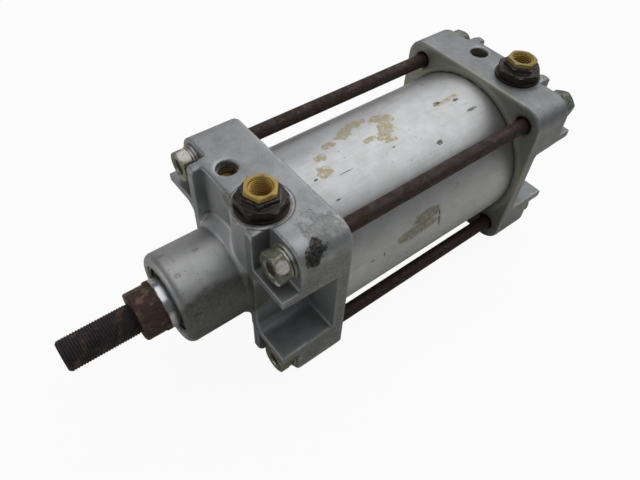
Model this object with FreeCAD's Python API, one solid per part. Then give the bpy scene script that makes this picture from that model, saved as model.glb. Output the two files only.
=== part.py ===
"""Double acting pneumatic cylinder with tie rods: every separate piece as its own named solid.

Frame, in millimetres: the origin is on the rod axis at the foot of the front cover's pilot boss.
+X runs along the axis towards the rod end, +Z is up through both air ports, +Y completes a
right-handed frame. The piston stands at the rear end of its stroke, as photographed.
"""
import math
import os

import FreeCAD
import Part

Vector = FreeCAD.Vector
AXIS_X = Vector(1, 0, 0)
AXIS_Z = Vector(0, 0, 1)

os.makedirs("parts", exist_ok=True)

# Working sizes of the cylinder
BORE = 100.0
STROKE = 100.0
PISTON_LENGTH = 40.0
END_GAP = 4.3          # room left at each end of the stroke
CLEAR = 0.05           # radial and axial gap between pieces that move against each other
GUIDE_FIT = 0.03       # radial gap of the rod bush and the cushions
PISTON_FIT = 0.3       # radial gap between piston and tube

# Covers
SIDE = 115.0
CORNER_R = 13.0
TIE_PITCH = 89.0
SLAB = 8.4             # thickness behind the side pockets
SEAT = 32.4            # depth of the tie nut seats from the tube side
BLOCK = 38.0           # depth of the port block
FRONT_DEPTH = 44.0     # depth of the front cover's webs
REAR_DEPTH = 40.6
REAR_SEAT = 28.9
REAR_BLOCK = 33.5
WEB_IN = 25.0          # inner face of webs and arms, from the axis
WEB_OUT = 31.0
FOOT_WALL = 22.5       # inner face of the pocket underneath, from the axis
POCKET_DRAFT = 0.7
POCKET_R = 7.0
WEB_FOOT_SLOPE = 5.5   # how far the webs' lower ends run up at the open side
WEB_FOOT_R = 4.5       # rounding of those lower ends
FRONT_HEAD_SLOPE = 1.3 # the same for their upper ends
REAR_HEAD_SLOPE = 0.8
WEB_HEAD_R = 2.0
TIE_HOLE_R = 5.25
TIE_LEAD_R = 6.4       # lead-in of a tie rod hole on the tube side
TIE_LEAD = 1.5
RING_HEIGHT = 0.8      # raised ring round the tube end
RING_WIDTH = 3.5

# Barrel
TUBE_WALL = 2.0
TUBE_R = BORE / 2 + TUBE_WALL
TUBE_SPAN = STROKE + PISTON_LENGTH + 2 * END_GAP
RING_R = TUBE_R + RING_WIDTH
GROOVE_DEPTH = 4.0
GROOVE_FIT = 0.1
GASKET = 1.0

# How far the flare of the boss stands out of the front webs
FLARE_RISE = 2.0

# Places of the covers' tube faces along X
FRONT_FACE = -FRONT_DEPTH - FLARE_RISE
REAR_FACE = FRONT_FACE - TUBE_SPAN

# Boss on the front cover
BOSS_R = 27.5
BOSS_LENGTH = 36.4
BOSS_EDGE = 4.0
FLARE_R = 33.0
FLARE_WAIST = 3.5
FLARE_LIP = 2.1
HUB_R = 28.0           # cast foot of the boss, a step outside the turned pilot

# Rod and piston
ROD_R = 15.0
JOURNAL_R = 8.0
THREAD_R = 9.0
THREAD_LENGTH = 40.0
SHOULDER_X = 54.7
FLATS_X = 43.0
FLATS_ACROSS = 27.0
THREAD_CHAMFER = 1.4
PISTON_R = BORE / 2 - PISTON_FIT
PISTON_REAR = REAR_FACE + END_GAP
PISTON_FRONT = PISTON_REAR + PISTON_LENGTH
SEAL_DEPTH = 7.0
SEAL_WIDTH = 6.0
SEAL_AT = 7.0          # groove from the piston's end face
SEAL_HEEL = 1.6
SEAL_NOTCH = 3.3
SEAL_LIP = 1.4
SEAL_RELIEF = 0.5
SEAL_BACK = 0.9
WEAR_DEPTH = 2.6
WEAR_WIDTH = 8.0
NUT_LENGTH = 8.0
NUT_ACROSS = 24.0

# Cushions
CUSHION_WALL = 4.0
CUSHION_R = ROD_R + CUSHION_WALL
CUSHION_LENGTH = 24.0
SPEAR_LENGTH = 14.0
CHAMBER_GAP = 3.5
CHAMBER_R = CUSHION_R + CHAMBER_GAP
CHAMBER_END = 34.0     # depth of the front cushion chamber from the tube side
REAR_CHAMBER_END = 25.0
CUSHION_SEAL_DEPTH = 4.0
CUSHION_SEAL_WIDTH = 5.0
CUSHION_SEAL_AT = 3.0

# Rod gland
BUSH_WALL = 3.0
BUSH_R = ROD_R + BUSH_WALL
SEAL_ROOM = 6.0        # radial room of rod seal and wiper
GLAND_R = ROD_R + SEAL_ROOM
BUSH_END = 12.0
SEAL_END = 20.0
SPACER_END = 27.0
WIPER_END = 33.6
GLAND_RING_END = 35.0
GLAND_RING_BITE = 1.2

# Ports
PORT_X = 27.5          # from the tube side
REAR_PORT_X = 23.0
FRONT_PORT_Y = 16.3
REAR_PORT_Y = 16.8
SPOT_R = 17.0
SPOT_DEPTH = 0.4
PORT_THREAD_R = 10.2
PORT_DEPTH = 17.0
PASSAGE_R = 5.0
PORT_WASHER_R = 14.9
PORT_WASHER = 1.5
BUSHING_COLLAR_R = 12.2
BUSHING_COLLAR = 0.8
BUSHING_HEX = 25.0
BUSHING_HEX_HEIGHT = 6.6
BUSHING_SHANK = 13.0
REDUCER_THREAD_R = 8.2
REDUCER_HEX = 16.8
REDUCER_HEAD = 3.3
REDUCER_SHANK = 15.0
REDUCER_BORE_R = 5.8
PORT_BULGE_R = 16.4

# Cushion needles
FRONT_NEEDLE_Y = -16.3
REAR_NEEDLE_Y = -15.6
NEEDLE_HOLE_R = 6.0
NEEDLE_HOLE_DEPTH = 17.5
NEEDLE_HEAD_R = 5.8
NEEDLE_TOP = 9.0       # below the cover's top face
NEEDLE_HEAD_LENGTH = 7.5
NEEDLE_STEM_R = 3.0
NEEDLE_STEM_LENGTH = 9.0
NEEDLE_TIP_LENGTH = 4.0
NEEDLE_SLOT = 1.6
NEEDLE_SLOT_DEPTH = 2.0
NEEDLE_RING_AT = 3.6   # depth of the retaining ring's top
NEEDLE_RING_THICK = 1.0
NEEDLE_RING_BITE = 0.6
NEEDLE_SEAL_AT = 3.2
NEEDLE_SEAL_WIDTH = 2.0
NEEDLE_SEAL_DEPTH = 1.4

# Tie rods, nuts and washers
TIE_R = 4.5
TIE_THREAD_R = 4.9
TIE_THREAD_LENGTH = 16.0
FRONT_FLAT_WASHER = 1.6
FRONT_SPRING_WASHER = 1.8
REAR_FLAT_WASHER = 2.0
REAR_SPRING_WASHER = 2.5
FRONT_TIE_NUT = 6.8
REAR_TIE_NUT = 8.0
TIE_NUT_ACROSS = 17.0
WASHER_R = 10.0
SPRING_WASHER_R = 8.8
SPRING_GAP = 1.2
FRONT_TIE_END = -1.2   # rod end from the nut's outer face
REAR_TIE_END = 1.2


def box(x0, x1, y0, y1, z0, z1):
    """Solid box between two opposite corners."""
    return Part.makeBox(abs(x1 - x0), abs(y1 - y0), abs(z1 - z0),
                        Vector(min(x0, x1), min(y0, y1), min(z0, z1)))


def rod_x(radius, x0, x1, y=0.0, z=0.0):
    """Solid round bar along X."""
    return Part.makeCylinder(radius, abs(x1 - x0), Vector(min(x0, x1), y, z), AXIS_X)


def rod_z(radius, x, y, z0, z1):
    """Solid round bar along Z."""
    return Part.makeCylinder(radius, abs(z1 - z0), Vector(x, y, min(z0, z1)), AXIS_Z)


def revolve_x(profile):
    """Solid turned about the X axis from a closed profile of (x, radius) points."""
    points = [Vector(x, 0, r) for x, r in profile]
    face = Part.Face(Part.makePolygon(points + points[:1]))
    return face.revolve(Vector(0, 0, 0), AXIS_X, 360)


def revolve_z(profile, x, y):
    """Solid turned about a vertical axis from a closed profile of (z, radius) points."""
    points = [Vector(x + r, y, z) for z, r in profile]
    face = Part.Face(Part.makePolygon(points + points[:1]))
    return face.revolve(Vector(x, y, 0), AXIS_Z, 360)


def rounded_bar_x(profile, radius):
    """Bar about the X axis from (x, radius) points, its far end rounded off by an arc."""
    (x, r), (end, _) = profile[-2:]
    start, centre = Vector(end - radius, 0, r), (end - radius, r - radius)
    middle = Vector(centre[0] + radius * math.sin(math.pi / 4), 0, centre[1] + radius * math.cos(math.pi / 4))
    points = [Vector(a, 0, b) for a, b in profile[:-1]] + [start]
    edges = [Part.makeLine(a, b) for a, b in zip(points, points[1:])]
    tip = Vector(end, 0, r - radius)
    edges += [Part.Arc(start, middle, tip).toShape(), Part.makeLine(tip, Vector(end, 0, 0)),
              Part.makeLine(Vector(end, 0, 0), points[0])]
    return Part.Face(Part.Wire(edges)).revolve(Vector(0, 0, 0), AXIS_X, 360)


def ring_x(x0, x1, inner, outer):
    """Plain ring about the X axis."""
    return revolve_x([(x0, inner), (x1, inner), (x1, outer), (x0, outer)])


def rounded_section(x, y0, y1, z0, z1, radius):
    """Closed wire of a rectangle with round corners in the plane at x."""
    arcs = []
    corners = [(y1 - radius, z1 - radius, 0), (y0 + radius, z1 - radius, 90),
               (y0 + radius, z0 + radius, 180), (y1 - radius, z0 + radius, 270)]
    for cy, cz, start in corners:
        ends = []
        for turn in (0, 45, 90):
            a = math.radians(start + turn)
            ends.append(Vector(x, cy + radius * math.cos(a), cz + radius * math.sin(a)))
        arcs.append(ends)
    edges = []
    for i, (first, middle, last) in enumerate(arcs):
        edges.append(Part.Arc(first, middle, last).toShape())
        edges.append(Part.makeLine(last, arcs[(i + 1) % 4][0]))
    return Part.Wire(edges)


def rounded_block(x0, x1, half, radius):
    """Square block with round corners along X."""
    face = Part.Face(rounded_section(x0, -half, half, -half, half, radius))
    return face.extrude(Vector(x1 - x0, 0, 0))


def hexagon(across, height, centre, direction, turn=0.0):
    """Hexagonal prism standing on centre."""
    r = across / math.sqrt(3.0)
    points = [Vector(r * math.cos(math.radians(60 * i + turn)),
                     r * math.sin(math.radians(60 * i + turn)), 0) for i in range(7)]
    prism = Part.Face(Part.makePolygon(points)).extrude(Vector(0, 0, height))
    prism.Placement = FreeCAD.Placement(centre, FreeCAD.Rotation(AXIS_Z, direction))
    return prism


def chamfered_hexagon(across, height, centre, direction, turn, both):
    """Hexagonal prism whose corners are cut back by a cone at one or both ends."""
    r = across / math.sqrt(3.0)
    flat = across / 2.0
    drop = (r - flat) * 0.62
    profile = [(0, 0), (0, flat if both else r + 1)]
    if both:
        profile.append((drop, r))
    profile += [(height - drop, r), (height, flat), (height, 0)]
    points = [Vector(q, 0, z) for z, q in profile]
    cone = Part.Face(Part.makePolygon(points + points[:1])).revolve(Vector(0, 0, 0), AXIS_Z, 360)
    cone.Placement = FreeCAD.Placement(centre, FreeCAD.Rotation(AXIS_Z, direction))
    return hexagon(across, height, centre, direction, turn).common(cone)


def tie_places():
    """Centres of the four tie rods in Y and Z."""
    half = TIE_PITCH / 2.0
    return [(half, half), (-half, half), (-half, -half), (half, -half)]


class Side:
    """One end of the cylinder: turns depths from the tube side into X places."""

    def __init__(self, face, sign, depth, seat, block, port, port_y, needle_y, slope, washers, nut, tie_end):
        self.face = face
        self.sign = sign
        self.depth = depth
        self.seat = seat
        self.block = block
        self.port = face + sign * port
        self.port_y = port_y
        self.needle_y = needle_y
        self.slope = slope
        self.flat_washer, self.spring_washer = washers
        self.nut = nut
        self.tie_end = tie_end

    def x(self, depth):
        """X of a plane at a depth from the tube side."""
        return self.face + self.sign * depth


FRONT = Side(FRONT_FACE, 1, FRONT_DEPTH, SEAT, BLOCK, PORT_X, FRONT_PORT_Y, FRONT_NEEDLE_Y,
             FRONT_HEAD_SLOPE, (FRONT_FLAT_WASHER, FRONT_SPRING_WASHER), FRONT_TIE_NUT, FRONT_TIE_END)
REAR = Side(REAR_FACE, -1, REAR_DEPTH, REAR_SEAT, REAR_BLOCK, REAR_PORT_X, REAR_PORT_Y, REAR_NEEDLE_Y,
            REAR_HEAD_SLOPE, (REAR_FLAT_WASHER, REAR_SPRING_WASHER), REAR_TIE_NUT, REAR_TIE_END)


def side_pocket(side, quarter, wall):
    """Drafted open pocket in one side of a cover, turned by quarters about X.

    The wall is the distance of the pocket's inner face from the axis at the open end.
    """
    out = SIDE / 2 + 12
    sections = []
    for depth, tighter in ((SLAB, POCKET_DRAFT), (side.depth + 1, -POCKET_DRAFT)):
        inner = wall + (tighter + POCKET_DRAFT) / 2
        half = WEB_IN - tighter
        sections.append(rounded_section(side.x(depth), inner, out, -half, half, POCKET_R))
    pocket = Part.makeLoft(sections, True, True)
    pocket.rotate(Vector(0, 0, 0), AXIS_X, 90 * quarter)
    return pocket


def nut_pocket(side, sy, sz):
    """Open corner room in front of one tie nut seat."""
    out = SIDE / 2 + 5
    room = box(side.x(side.seat), side.x(side.depth + 1),
               sy * WEB_OUT, sy * out, sz * WEB_OUT, sz * out)
    return room


def cover_body(side, hub_r):
    """Die-cast outside of a cover: slab, corner blocks, webs, arms and pockets."""
    half = SIDE / 2
    body = rounded_block(side.x(0), side.x(side.depth), half, CORNER_R)
    # room above and below the hub, between the two webs
    body = body.cut(box(side.x(side.block), side.x(side.depth + 1), -WEB_IN, WEB_IN, -half - 1, half + 1))
    bulge = rod_z(PORT_BULGE_R, side.port, side.port_y, 0, half)
    body = body.fuse(bulge.common(box(side.x(4), side.x(side.depth), -half, half, 0, half)))
    cuts = [nut_pocket(side, sy, sz) for sy in (-1, 1) for sz in (-1, 1)]
    cuts += [side_pocket(side, quarter, wall) for quarter, wall in ((0, WEB_OUT), (2, WEB_OUT), (3, FOOT_WALL))]
    body = body.cut(cuts[0].multiFuse(cuts[1:]))
    return body.fuse(rod_x(hub_r, side.x(0), side.x(side.depth)))


def sloped_end(side, sign, slope, radius):
    """Wedge that runs the webs' lower or upper ends in towards the open side, round at the tip."""
    half = SIDE / 2
    lean = math.atan2(slope, side.depth - side.seat)
    turn = (math.pi / 2 - lean) / 2
    reach = radius * math.tan(turn)
    start = half - slope - reach
    profile = [(side.depth, start), (side.depth + 0.5, start), (side.depth + 0.5, half + 0.01),
               (side.seat, half + 0.01), (side.depth - reach * math.cos(lean), half - slope + reach * math.sin(lean))]
    middle = (side.depth - radius * (1 - math.cos(turn)), start + radius * math.sin(turn))
    corners = [Vector(side.x(depth), -half, sign * height) for depth, height in profile]
    edges = [Part.makeLine(a, b) for a, b in zip(corners, corners[1:])]
    edges.append(Part.Arc(corners[-1], Vector(side.x(middle[0]), -half, sign * middle[1]), corners[0]).toShape())
    return Part.Face(Part.Wire(edges)).extrude(Vector(0, SIDE, 0))


def sloped_ends(side):
    """Both wedges of one cover."""
    foot = sloped_end(side, -1, WEB_FOOT_SLOPE, WEB_FOOT_R)
    return foot.fuse(sloped_end(side, 1, side.slope, WEB_HEAD_R))


def tube_groove(side):
    """Annular groove that takes the gasket and the tube end."""
    return ring_x(*sorted((side.x(-RING_HEIGHT - 0.1), side.x(GROOVE_DEPTH))),
                  BORE / 2 - GROOVE_FIT, TUBE_R + GROOVE_FIT)


def tube_ring(side):
    """Low machined ring round the tube end."""
    return ring_x(*sorted((side.x(-RING_HEIGHT), side.x(1))), TUBE_R + GROOVE_FIT - 1, RING_R)


def port_cut(side, reach):
    """Threaded port with spot face and passage down to the cushion chamber."""
    top = SIDE / 2
    spot = rod_z(SPOT_R, side.port, side.port_y, top - SPOT_DEPTH, top + 1)
    thread = rod_z(PORT_THREAD_R, side.port, side.port_y, top - PORT_DEPTH, top + 1)
    passage = rod_z(PASSAGE_R, side.port, side.port_y, reach, top - PORT_DEPTH + 1)
    return spot.multiFuse([thread, passage])


def needle_cut(side, reach):
    """Stepped hole of the cushion needle with its ring groove and bleed drilling."""
    top = SIDE / 2
    bottom = top - NEEDLE_HOLE_DEPTH
    hole = rod_z(NEEDLE_HOLE_R, side.port, side.needle_y, bottom, top + 1)
    ring = rod_z(NEEDLE_HOLE_R + NEEDLE_RING_BITE, side.port, side.needle_y,
                 top - NEEDLE_RING_AT - NEEDLE_RING_THICK, top - NEEDLE_RING_AT)
    guide = rod_z(NEEDLE_STEM_R + CLEAR, side.port, side.needle_y, bottom - 9.5, bottom + 1)
    bleed = rod_z(1.2, side.port, side.needle_y, reach, bottom - 9)
    return hole.multiFuse([ring, guide, bleed])


def cushion_seal_groove(side):
    """Inner groove near the tube side that holds the cushion seal."""
    a = side.x(CUSHION_SEAL_AT)
    b = side.x(CUSHION_SEAL_AT + CUSHION_SEAL_WIDTH)
    return rod_x(CUSHION_R + CUSHION_SEAL_DEPTH, a, b)


def tie_holes(side):
    """Through holes of the four tie rods with a lead-in on the tube side."""
    holes = []
    for y, z in tie_places():
        hole = rod_x(TIE_HOLE_R, side.x(-2), side.x(side.seat + 1), y, z)
        lead = Part.makeCone(TIE_LEAD_R + 0.5, TIE_HOLE_R, TIE_LEAD + 0.5, Vector(side.x(-0.5), y, z),
                             Vector(side.sign, 0, 0))
        holes.append(hole.fuse(lead))
    return holes


def front_cover():
    """Front cover with boss, gland bore, cushion chamber, port and needle hole."""
    side = FRONT
    body = cover_body(side, HUB_R)
    half = SIDE / 2
    start = side.x(side.block)
    flare = revolve_x([(start, 0), (start, FLARE_R), (-FLARE_WAIST, HUB_R + FLARE_LIP), (0, HUB_R), (0, 0)])
    flare = flare.common(box(start - 1, 1, -WEB_IN, WEB_IN, -half, half))
    foot = side.x(SLAB)
    boss = rounded_bar_x([(foot, 0), (foot, HUB_R), (0, HUB_R), (0, BOSS_R), (BOSS_LENGTH, BOSS_R)], BOSS_EDGE)
    body = body.multiFuse([flare, boss, tube_ring(side)])
    chamber = side.x(CHAMBER_END)
    throat = CUSHION_SEAL_AT + CUSHION_SEAL_WIDTH + 2.0
    cuts = [tube_groove(side), sloped_ends(side), cushion_seal_groove(side)] + tie_holes(side)
    cuts += [
        rod_x(CUSHION_R + 1.0, side.x(-1), side.x(throat + 1)),
        rod_x(CHAMBER_R, side.x(throat), chamber),
        rod_x(BUSH_R, chamber - 1, BUSH_END + 1),
        rod_x(GLAND_R, BUSH_END, BOSS_LENGTH + 1),
        rod_x(GLAND_R + GLAND_RING_BITE, WIPER_END, GLAND_RING_END),
        port_cut(side, 12.0),
        needle_cut(side, 12.0),
    ]
    return body.cut(cuts[0].multiFuse(cuts[1:]))


def rear_cover():
    """Rear cover: the same casting without a boss, closed behind its cushion chamber."""
    side = REAR
    body = cover_body(side, HUB_R).multiFuse([tube_ring(side)])
    throat = CUSHION_SEAL_AT + CUSHION_SEAL_WIDTH + 2.0
    cuts = [tube_groove(side), sloped_ends(side), cushion_seal_groove(side)] + tie_holes(side)
    cuts += [
        rod_x(CUSHION_R + 1.0, side.x(-1), side.x(throat + 1)),
        rod_x(CHAMBER_R - 1.5, side.x(throat), side.x(REAR_CHAMBER_END)),
        port_cut(side, 12.0),
        needle_cut(side, 12.0),
    ]
    return body.cut(cuts[0].multiFuse(cuts[1:]))


def barrel_tube():
    """Smooth barrel seated in both cover grooves."""
    x0 = REAR.x(GROOVE_DEPTH - GASKET)
    x1 = FRONT.x(GROOVE_DEPTH - GASKET)
    return ring_x(x0, x1, BORE / 2, TUBE_R)


def tube_gasket(side):
    """Flat ring at the bottom of a tube groove."""
    return ring_x(*sorted((side.x(GROOVE_DEPTH - GASKET), side.x(GROOVE_DEPTH))),
                  BORE / 2 - GROOVE_FIT, TUBE_R + GROOVE_FIT)


def stack(side):
    """Depths of the washer and nut planes on one tie rod end."""
    flat = side.seat + side.flat_washer
    spring = flat + side.spring_washer
    return side.seat, flat, spring, spring + side.nut


def tie_rod(y, z):
    """Tie rod: rolled-thread ends a little thicker than the shank."""
    x1 = FRONT.x(stack(FRONT)[3] + FRONT.tie_end)
    x0 = REAR.x(stack(REAR)[3] + REAR.tie_end)
    shank = rod_x(TIE_R, x0 + 5, x1 - 5, y, z)
    ends = []
    for a, b, tip in ((x0, x0 + TIE_THREAD_LENGTH, -1), (x1 - TIE_THREAD_LENGTH, x1, 1)):
        end = rod_x(TIE_THREAD_R, a, b, y, z)
        cone = Part.makeCone(TIE_THREAD_R + 0.6, TIE_THREAD_R - 0.8, 1.4,
                             Vector(b - 1.4, y, z) if tip > 0 else Vector(a + 1.4, y, z),
                             AXIS_X if tip > 0 else Vector(-1, 0, 0))
        inner = rod_x(TIE_THREAD_R, a if tip > 0 else a + 1.4, b - 1.4 if tip > 0 else b, y, z)
        ends.append(inner.fuse(end.common(cone)))
    return shank.multiFuse(ends)


def tie_nuts(side):
    """Four hexagon nuts of one end."""
    solids = []
    for i, (y, z) in enumerate(tie_places()):
        start = side.x(stack(side)[2])
        nut = chamfered_hexagon(TIE_NUT_ACROSS, side.nut, Vector(start, y, z),
                                Vector(side.sign, 0, 0), 10 + 14 * i, True)
        solids.append(nut.cut(rod_x(TIE_THREAD_R, start - side.sign, start + side.sign * (side.nut + 1), y, z)))
    return Part.makeCompound(solids)


def flat_washers(side):
    """Four flat washers of one end."""
    a, b = sorted((side.x(stack(side)[0]), side.x(stack(side)[1])))
    rings = [rod_x(WASHER_R, a, b, y, z).cut(rod_x(TIE_HOLE_R, a - 1, b + 1, y, z)) for y, z in tie_places()]
    return Part.makeCompound(rings)


def spring_washers(side):
    """Four split spring washers of one end."""
    a, b = sorted((side.x(stack(side)[1]), side.x(stack(side)[2])))
    rings = []
    for i, (y, z) in enumerate(tie_places()):
        ring = rod_x(SPRING_WASHER_R, a, b, y, z).cut(rod_x(TIE_HOLE_R, a - 1, b + 1, y, z))
        gap = box(a - 1, b + 1, y - SPRING_GAP / 2, y + SPRING_GAP / 2, z, z + SPRING_WASHER_R + 2)
        gap.rotate(Vector(0, y, z), AXIS_X, 35 + 80 * i)
        rings.append(ring.cut(gap))
    return Part.makeCompound(rings)


def piston_rod():
    """Rod: piston journal, chromed bar, wrench flats and threaded end."""
    end = PISTON_REAR - SPEAR_LENGTH - NUT_LENGTH - 2.0
    tip = SHOULDER_X + THREAD_LENGTH
    core = THREAD_R - THREAD_CHAMFER
    rod = revolve_x([
        (end, 0), (end, JOURNAL_R - 1.2), (end + 1.2, JOURNAL_R), (PISTON_FRONT, JOURNAL_R),
        (PISTON_FRONT, ROD_R), (SHOULDER_X - 0.8, ROD_R), (SHOULDER_X, ROD_R - 0.8),
        (SHOULDER_X, THREAD_R), (tip - THREAD_CHAMFER, THREAD_R), (tip, core), (tip, 0)])
    flats = []
    for turn in (45, 225):
        flat = box(FLATS_X, SHOULDER_X + 1, -ROD_R - 2, ROD_R + 2, FLATS_ACROSS / 2, ROD_R + 3)
        flat.rotate(Vector(0, 0, 0), AXIS_X, turn)
        flats.append(flat)
    return rod.cut(flats[0].fuse(flats[1]))


def seal_places():
    """Starts of the two piston seal grooves along X."""
    return PISTON_REAR + SEAL_AT, PISTON_FRONT - SEAL_AT - SEAL_WIDTH


def piston_half(front):
    """Half of the piston with its seal groove and its share of the wear ring groove."""
    middle = (PISTON_REAR + PISTON_FRONT) / 2
    outer = PISTON_FRONT if front else PISTON_REAR
    sign = 1 if front else -1
    seal = seal_places()[1] if front else seal_places()[0]
    body = revolve_x([
        (middle, JOURNAL_R), (middle, PISTON_R - WEAR_DEPTH),
        (middle + sign * WEAR_WIDTH / 2, PISTON_R - WEAR_DEPTH), (middle + sign * WEAR_WIDTH / 2, PISTON_R),
        (outer - sign * 1.0, PISTON_R), (outer, PISTON_R - 1.0), (outer, 36.0),
        (outer - sign * 3.0, 33.0), (outer - sign * 3.0, CUSHION_R + 5.0), (outer, CUSHION_R + 2.0),
        (outer, JOURNAL_R)])
    body = body.cut(ring_x(seal, seal + SEAL_WIDTH, PISTON_R - SEAL_DEPTH, PISTON_R + 1))
    if front:
        body = body.cut(ring_x(middle - 1, middle + 2.4, JOURNAL_R - 1, JOURNAL_R + 2.4))
    return body


def piston_o_ring():
    """Ring that seals the piston halves on the rod journal."""
    middle = (PISTON_REAR + PISTON_FRONT) / 2
    return ring_x(middle, middle + 2.4, JOURNAL_R, JOURNAL_R + 2.4)


def piston_seals():
    """Two lipped seals that bear on the tube wall."""
    inner = PISTON_R - SEAL_DEPTH + CLEAR
    outer = BORE / 2 - CLEAR
    rings = []
    for start, sign in ((seal_places()[0], -1), (seal_places()[1], 1)):
        a = start + CLEAR if sign > 0 else start + SEAL_WIDTH - CLEAR
        w = SEAL_WIDTH - 2 * CLEAR
        rings.append(revolve_x([
            (a, inner), (a + sign * w, inner), (a + sign * w, inner + SEAL_HEEL),
            (a + sign * w * 0.45, inner + SEAL_NOTCH), (a + sign * w, outer - SEAL_LIP), (a + sign * w * 0.92, outer),
            (a + sign * w * 0.5, outer - SEAL_RELIEF), (a, outer - SEAL_BACK)]))
    return Part.makeCompound(rings)


def wear_ring():
    """Plain guide ring round the middle of the piston."""
    middle = (PISTON_REAR + PISTON_FRONT) / 2
    half = WEAR_WIDTH / 2 - CLEAR
    return ring_x(middle - half, middle + half, PISTON_R - WEAR_DEPTH + CLEAR, BORE / 2 - CLEAR)


def front_cushion_sleeve():
    """Sleeve on the rod that closes the front cushion."""
    a, b = PISTON_FRONT, PISTON_FRONT + CUSHION_LENGTH
    return revolve_x([(a, ROD_R), (b, ROD_R), (b, CUSHION_R - 2.4), (b - 5.0, CUSHION_R), (a, CUSHION_R)])


def rear_cushion_spear():
    """Sleeve behind the piston that closes the rear cushion and is held by the piston nut."""
    a, b = PISTON_REAR, PISTON_REAR - SPEAR_LENGTH
    return revolve_x([(a, JOURNAL_R), (b, JOURNAL_R), (b, CUSHION_R - 2.0), (b + 3.5, CUSHION_R), (a, CUSHION_R)])


def piston_nut():
    """Nut that clamps spear and piston halves on the journal."""
    start = PISTON_REAR - SPEAR_LENGTH
    nut = chamfered_hexagon(NUT_ACROSS, NUT_LENGTH, Vector(start, 0, 0), Vector(-1, 0, 0), 0, True)
    return nut.cut(rod_x(JOURNAL_R, start - NUT_LENGTH - 1, start + 1))


def cushion_seal(side):
    """Lipped ring in the cover that seals on the cushion sleeve or spear."""
    a = side.x(CUSHION_SEAL_AT)
    b = side.x(CUSHION_SEAL_AT + CUSHION_SEAL_WIDTH)
    s = side.sign
    inner = CUSHION_R + GUIDE_FIT
    outer = CUSHION_R + CUSHION_SEAL_DEPTH
    return revolve_x([(a, outer), (b, outer), (b, inner + 1.8), (b - s * 1.8, inner + 1.2), (a + s * 1.0, inner), (a, inner + 0.6)])


def rod_bush():
    """Plain bronze bush that guides the rod."""
    return ring_x(FRONT.x(CHAMBER_END), BUSH_END, ROD_R + GUIDE_FIT, BUSH_R)


def rod_seal():
    """Lipped rod seal behind the spacer."""
    a, b = BUSH_END, SEAL_END
    inner = ROD_R + CLEAR
    return revolve_x([(a, GLAND_R), (a, GLAND_R - 1.6), (a + 4.0, GLAND_R - 2.6), (a, inner + 1.2), (a + 0.5, inner),
                      (a + 4.5, inner + 0.5), (b, inner + 0.5), (b, GLAND_R)])


def seal_spacer():
    """Metal ring between rod seal and wiper."""
    return ring_x(SEAL_END, SPACER_END, ROD_R + 0.6, GLAND_R)


def wiper_seal():
    """Wiper whose lip cleans the rod at the mouth of the boss."""
    a, b = SPACER_END, WIPER_END
    inner = ROD_R + CLEAR
    return revolve_x([(a, GLAND_R), (a, inner + 1.0), (b - 2.4, inner + 1.4), (b - 0.4, inner + 1.0), (b + 1.0, inner),
                      (b + 1.4, inner + 0.5), (b, inner + 2.2), (b, GLAND_R)])


def gland_retaining_ring():
    """Open retaining ring in the boss mouth."""
    ring = ring_x(WIPER_END, GLAND_RING_END, GLAND_R - 1.5, GLAND_R + GLAND_RING_BITE)
    return ring.cut(box(WIPER_END - 1, GLAND_RING_END + 1, -3.5, 3.5, -GLAND_R - 4, -GLAND_R + 4))


def port_levels():
    """Heights of the port's seat, washer top, collar top and bushing top."""
    seat = SIDE / 2 - SPOT_DEPTH
    washer = seat + PORT_WASHER
    collar = washer + BUSHING_COLLAR
    return seat, washer, collar, collar + BUSHING_HEX_HEIGHT


def port_washers():
    """Sealing washers under both port bushings."""
    seat, washer = port_levels()[:2]
    rings = []
    for side in (FRONT, REAR):
        ring = revolve_z([(seat, PORT_THREAD_R), (seat, PORT_WASHER_R), (washer - 0.3, PORT_WASHER_R),
                          (washer, PORT_WASHER_R - 0.3), (washer, PORT_THREAD_R)], side.port, side.port_y)
        rings.append(ring)
    return Part.makeCompound(rings)


def port_bushing(side, turn):
    """Steel bushing: hexagon over a round collar, with a threaded shank and a female thread."""
    seat, washer, collar, top = port_levels()
    x, y = side.port, side.port_y
    foot = seat - BUSHING_SHANK
    body = revolve_z([(foot, 0), (foot, PORT_THREAD_R - 1.0), (foot + 1.0, PORT_THREAD_R), (washer, PORT_THREAD_R),
                      (washer, BUSHING_COLLAR_R), (collar + 0.5, BUSHING_COLLAR_R), (collar + 0.5, 0)], x, y)
    head = chamfered_hexagon(BUSHING_HEX, BUSHING_HEX_HEIGHT, Vector(x, y, collar), AXIS_Z, turn, True)
    body = body.fuse(head)
    hollow = rod_z(REDUCER_THREAD_R, x, y, top - REDUCER_SHANK - 1.0, top + 1)
    return body.cut(hollow.fuse(rod_z(PASSAGE_R + 1.0, x, y, foot - 1, top - 1)))


def port_reducer(side, turn):
    """Brass reducer screwed into the steel bushing, with the female port thread."""
    base = port_levels()[3]
    x, y = side.port, side.port_y
    head = chamfered_hexagon(REDUCER_HEX, REDUCER_HEAD, Vector(x, y, base), AXIS_Z, turn, False)
    foot = base - REDUCER_SHANK
    shank = revolve_z([(foot, 0), (foot, REDUCER_THREAD_R - 0.8), (foot + 0.8, REDUCER_THREAD_R),
                       (base + 0.5, REDUCER_THREAD_R), (base + 0.5, 0)], x, y)
    body = head.fuse(shank)
    body = body.cut(rod_z(REDUCER_BORE_R, x, y, foot - 1, base + REDUCER_HEAD + 1))
    lead = Part.makeCone(REDUCER_BORE_R, REDUCER_BORE_R + 1.1, 1.1, Vector(x, y, base + REDUCER_HEAD - 1.1), AXIS_Z)
    return body.cut(lead)


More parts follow.
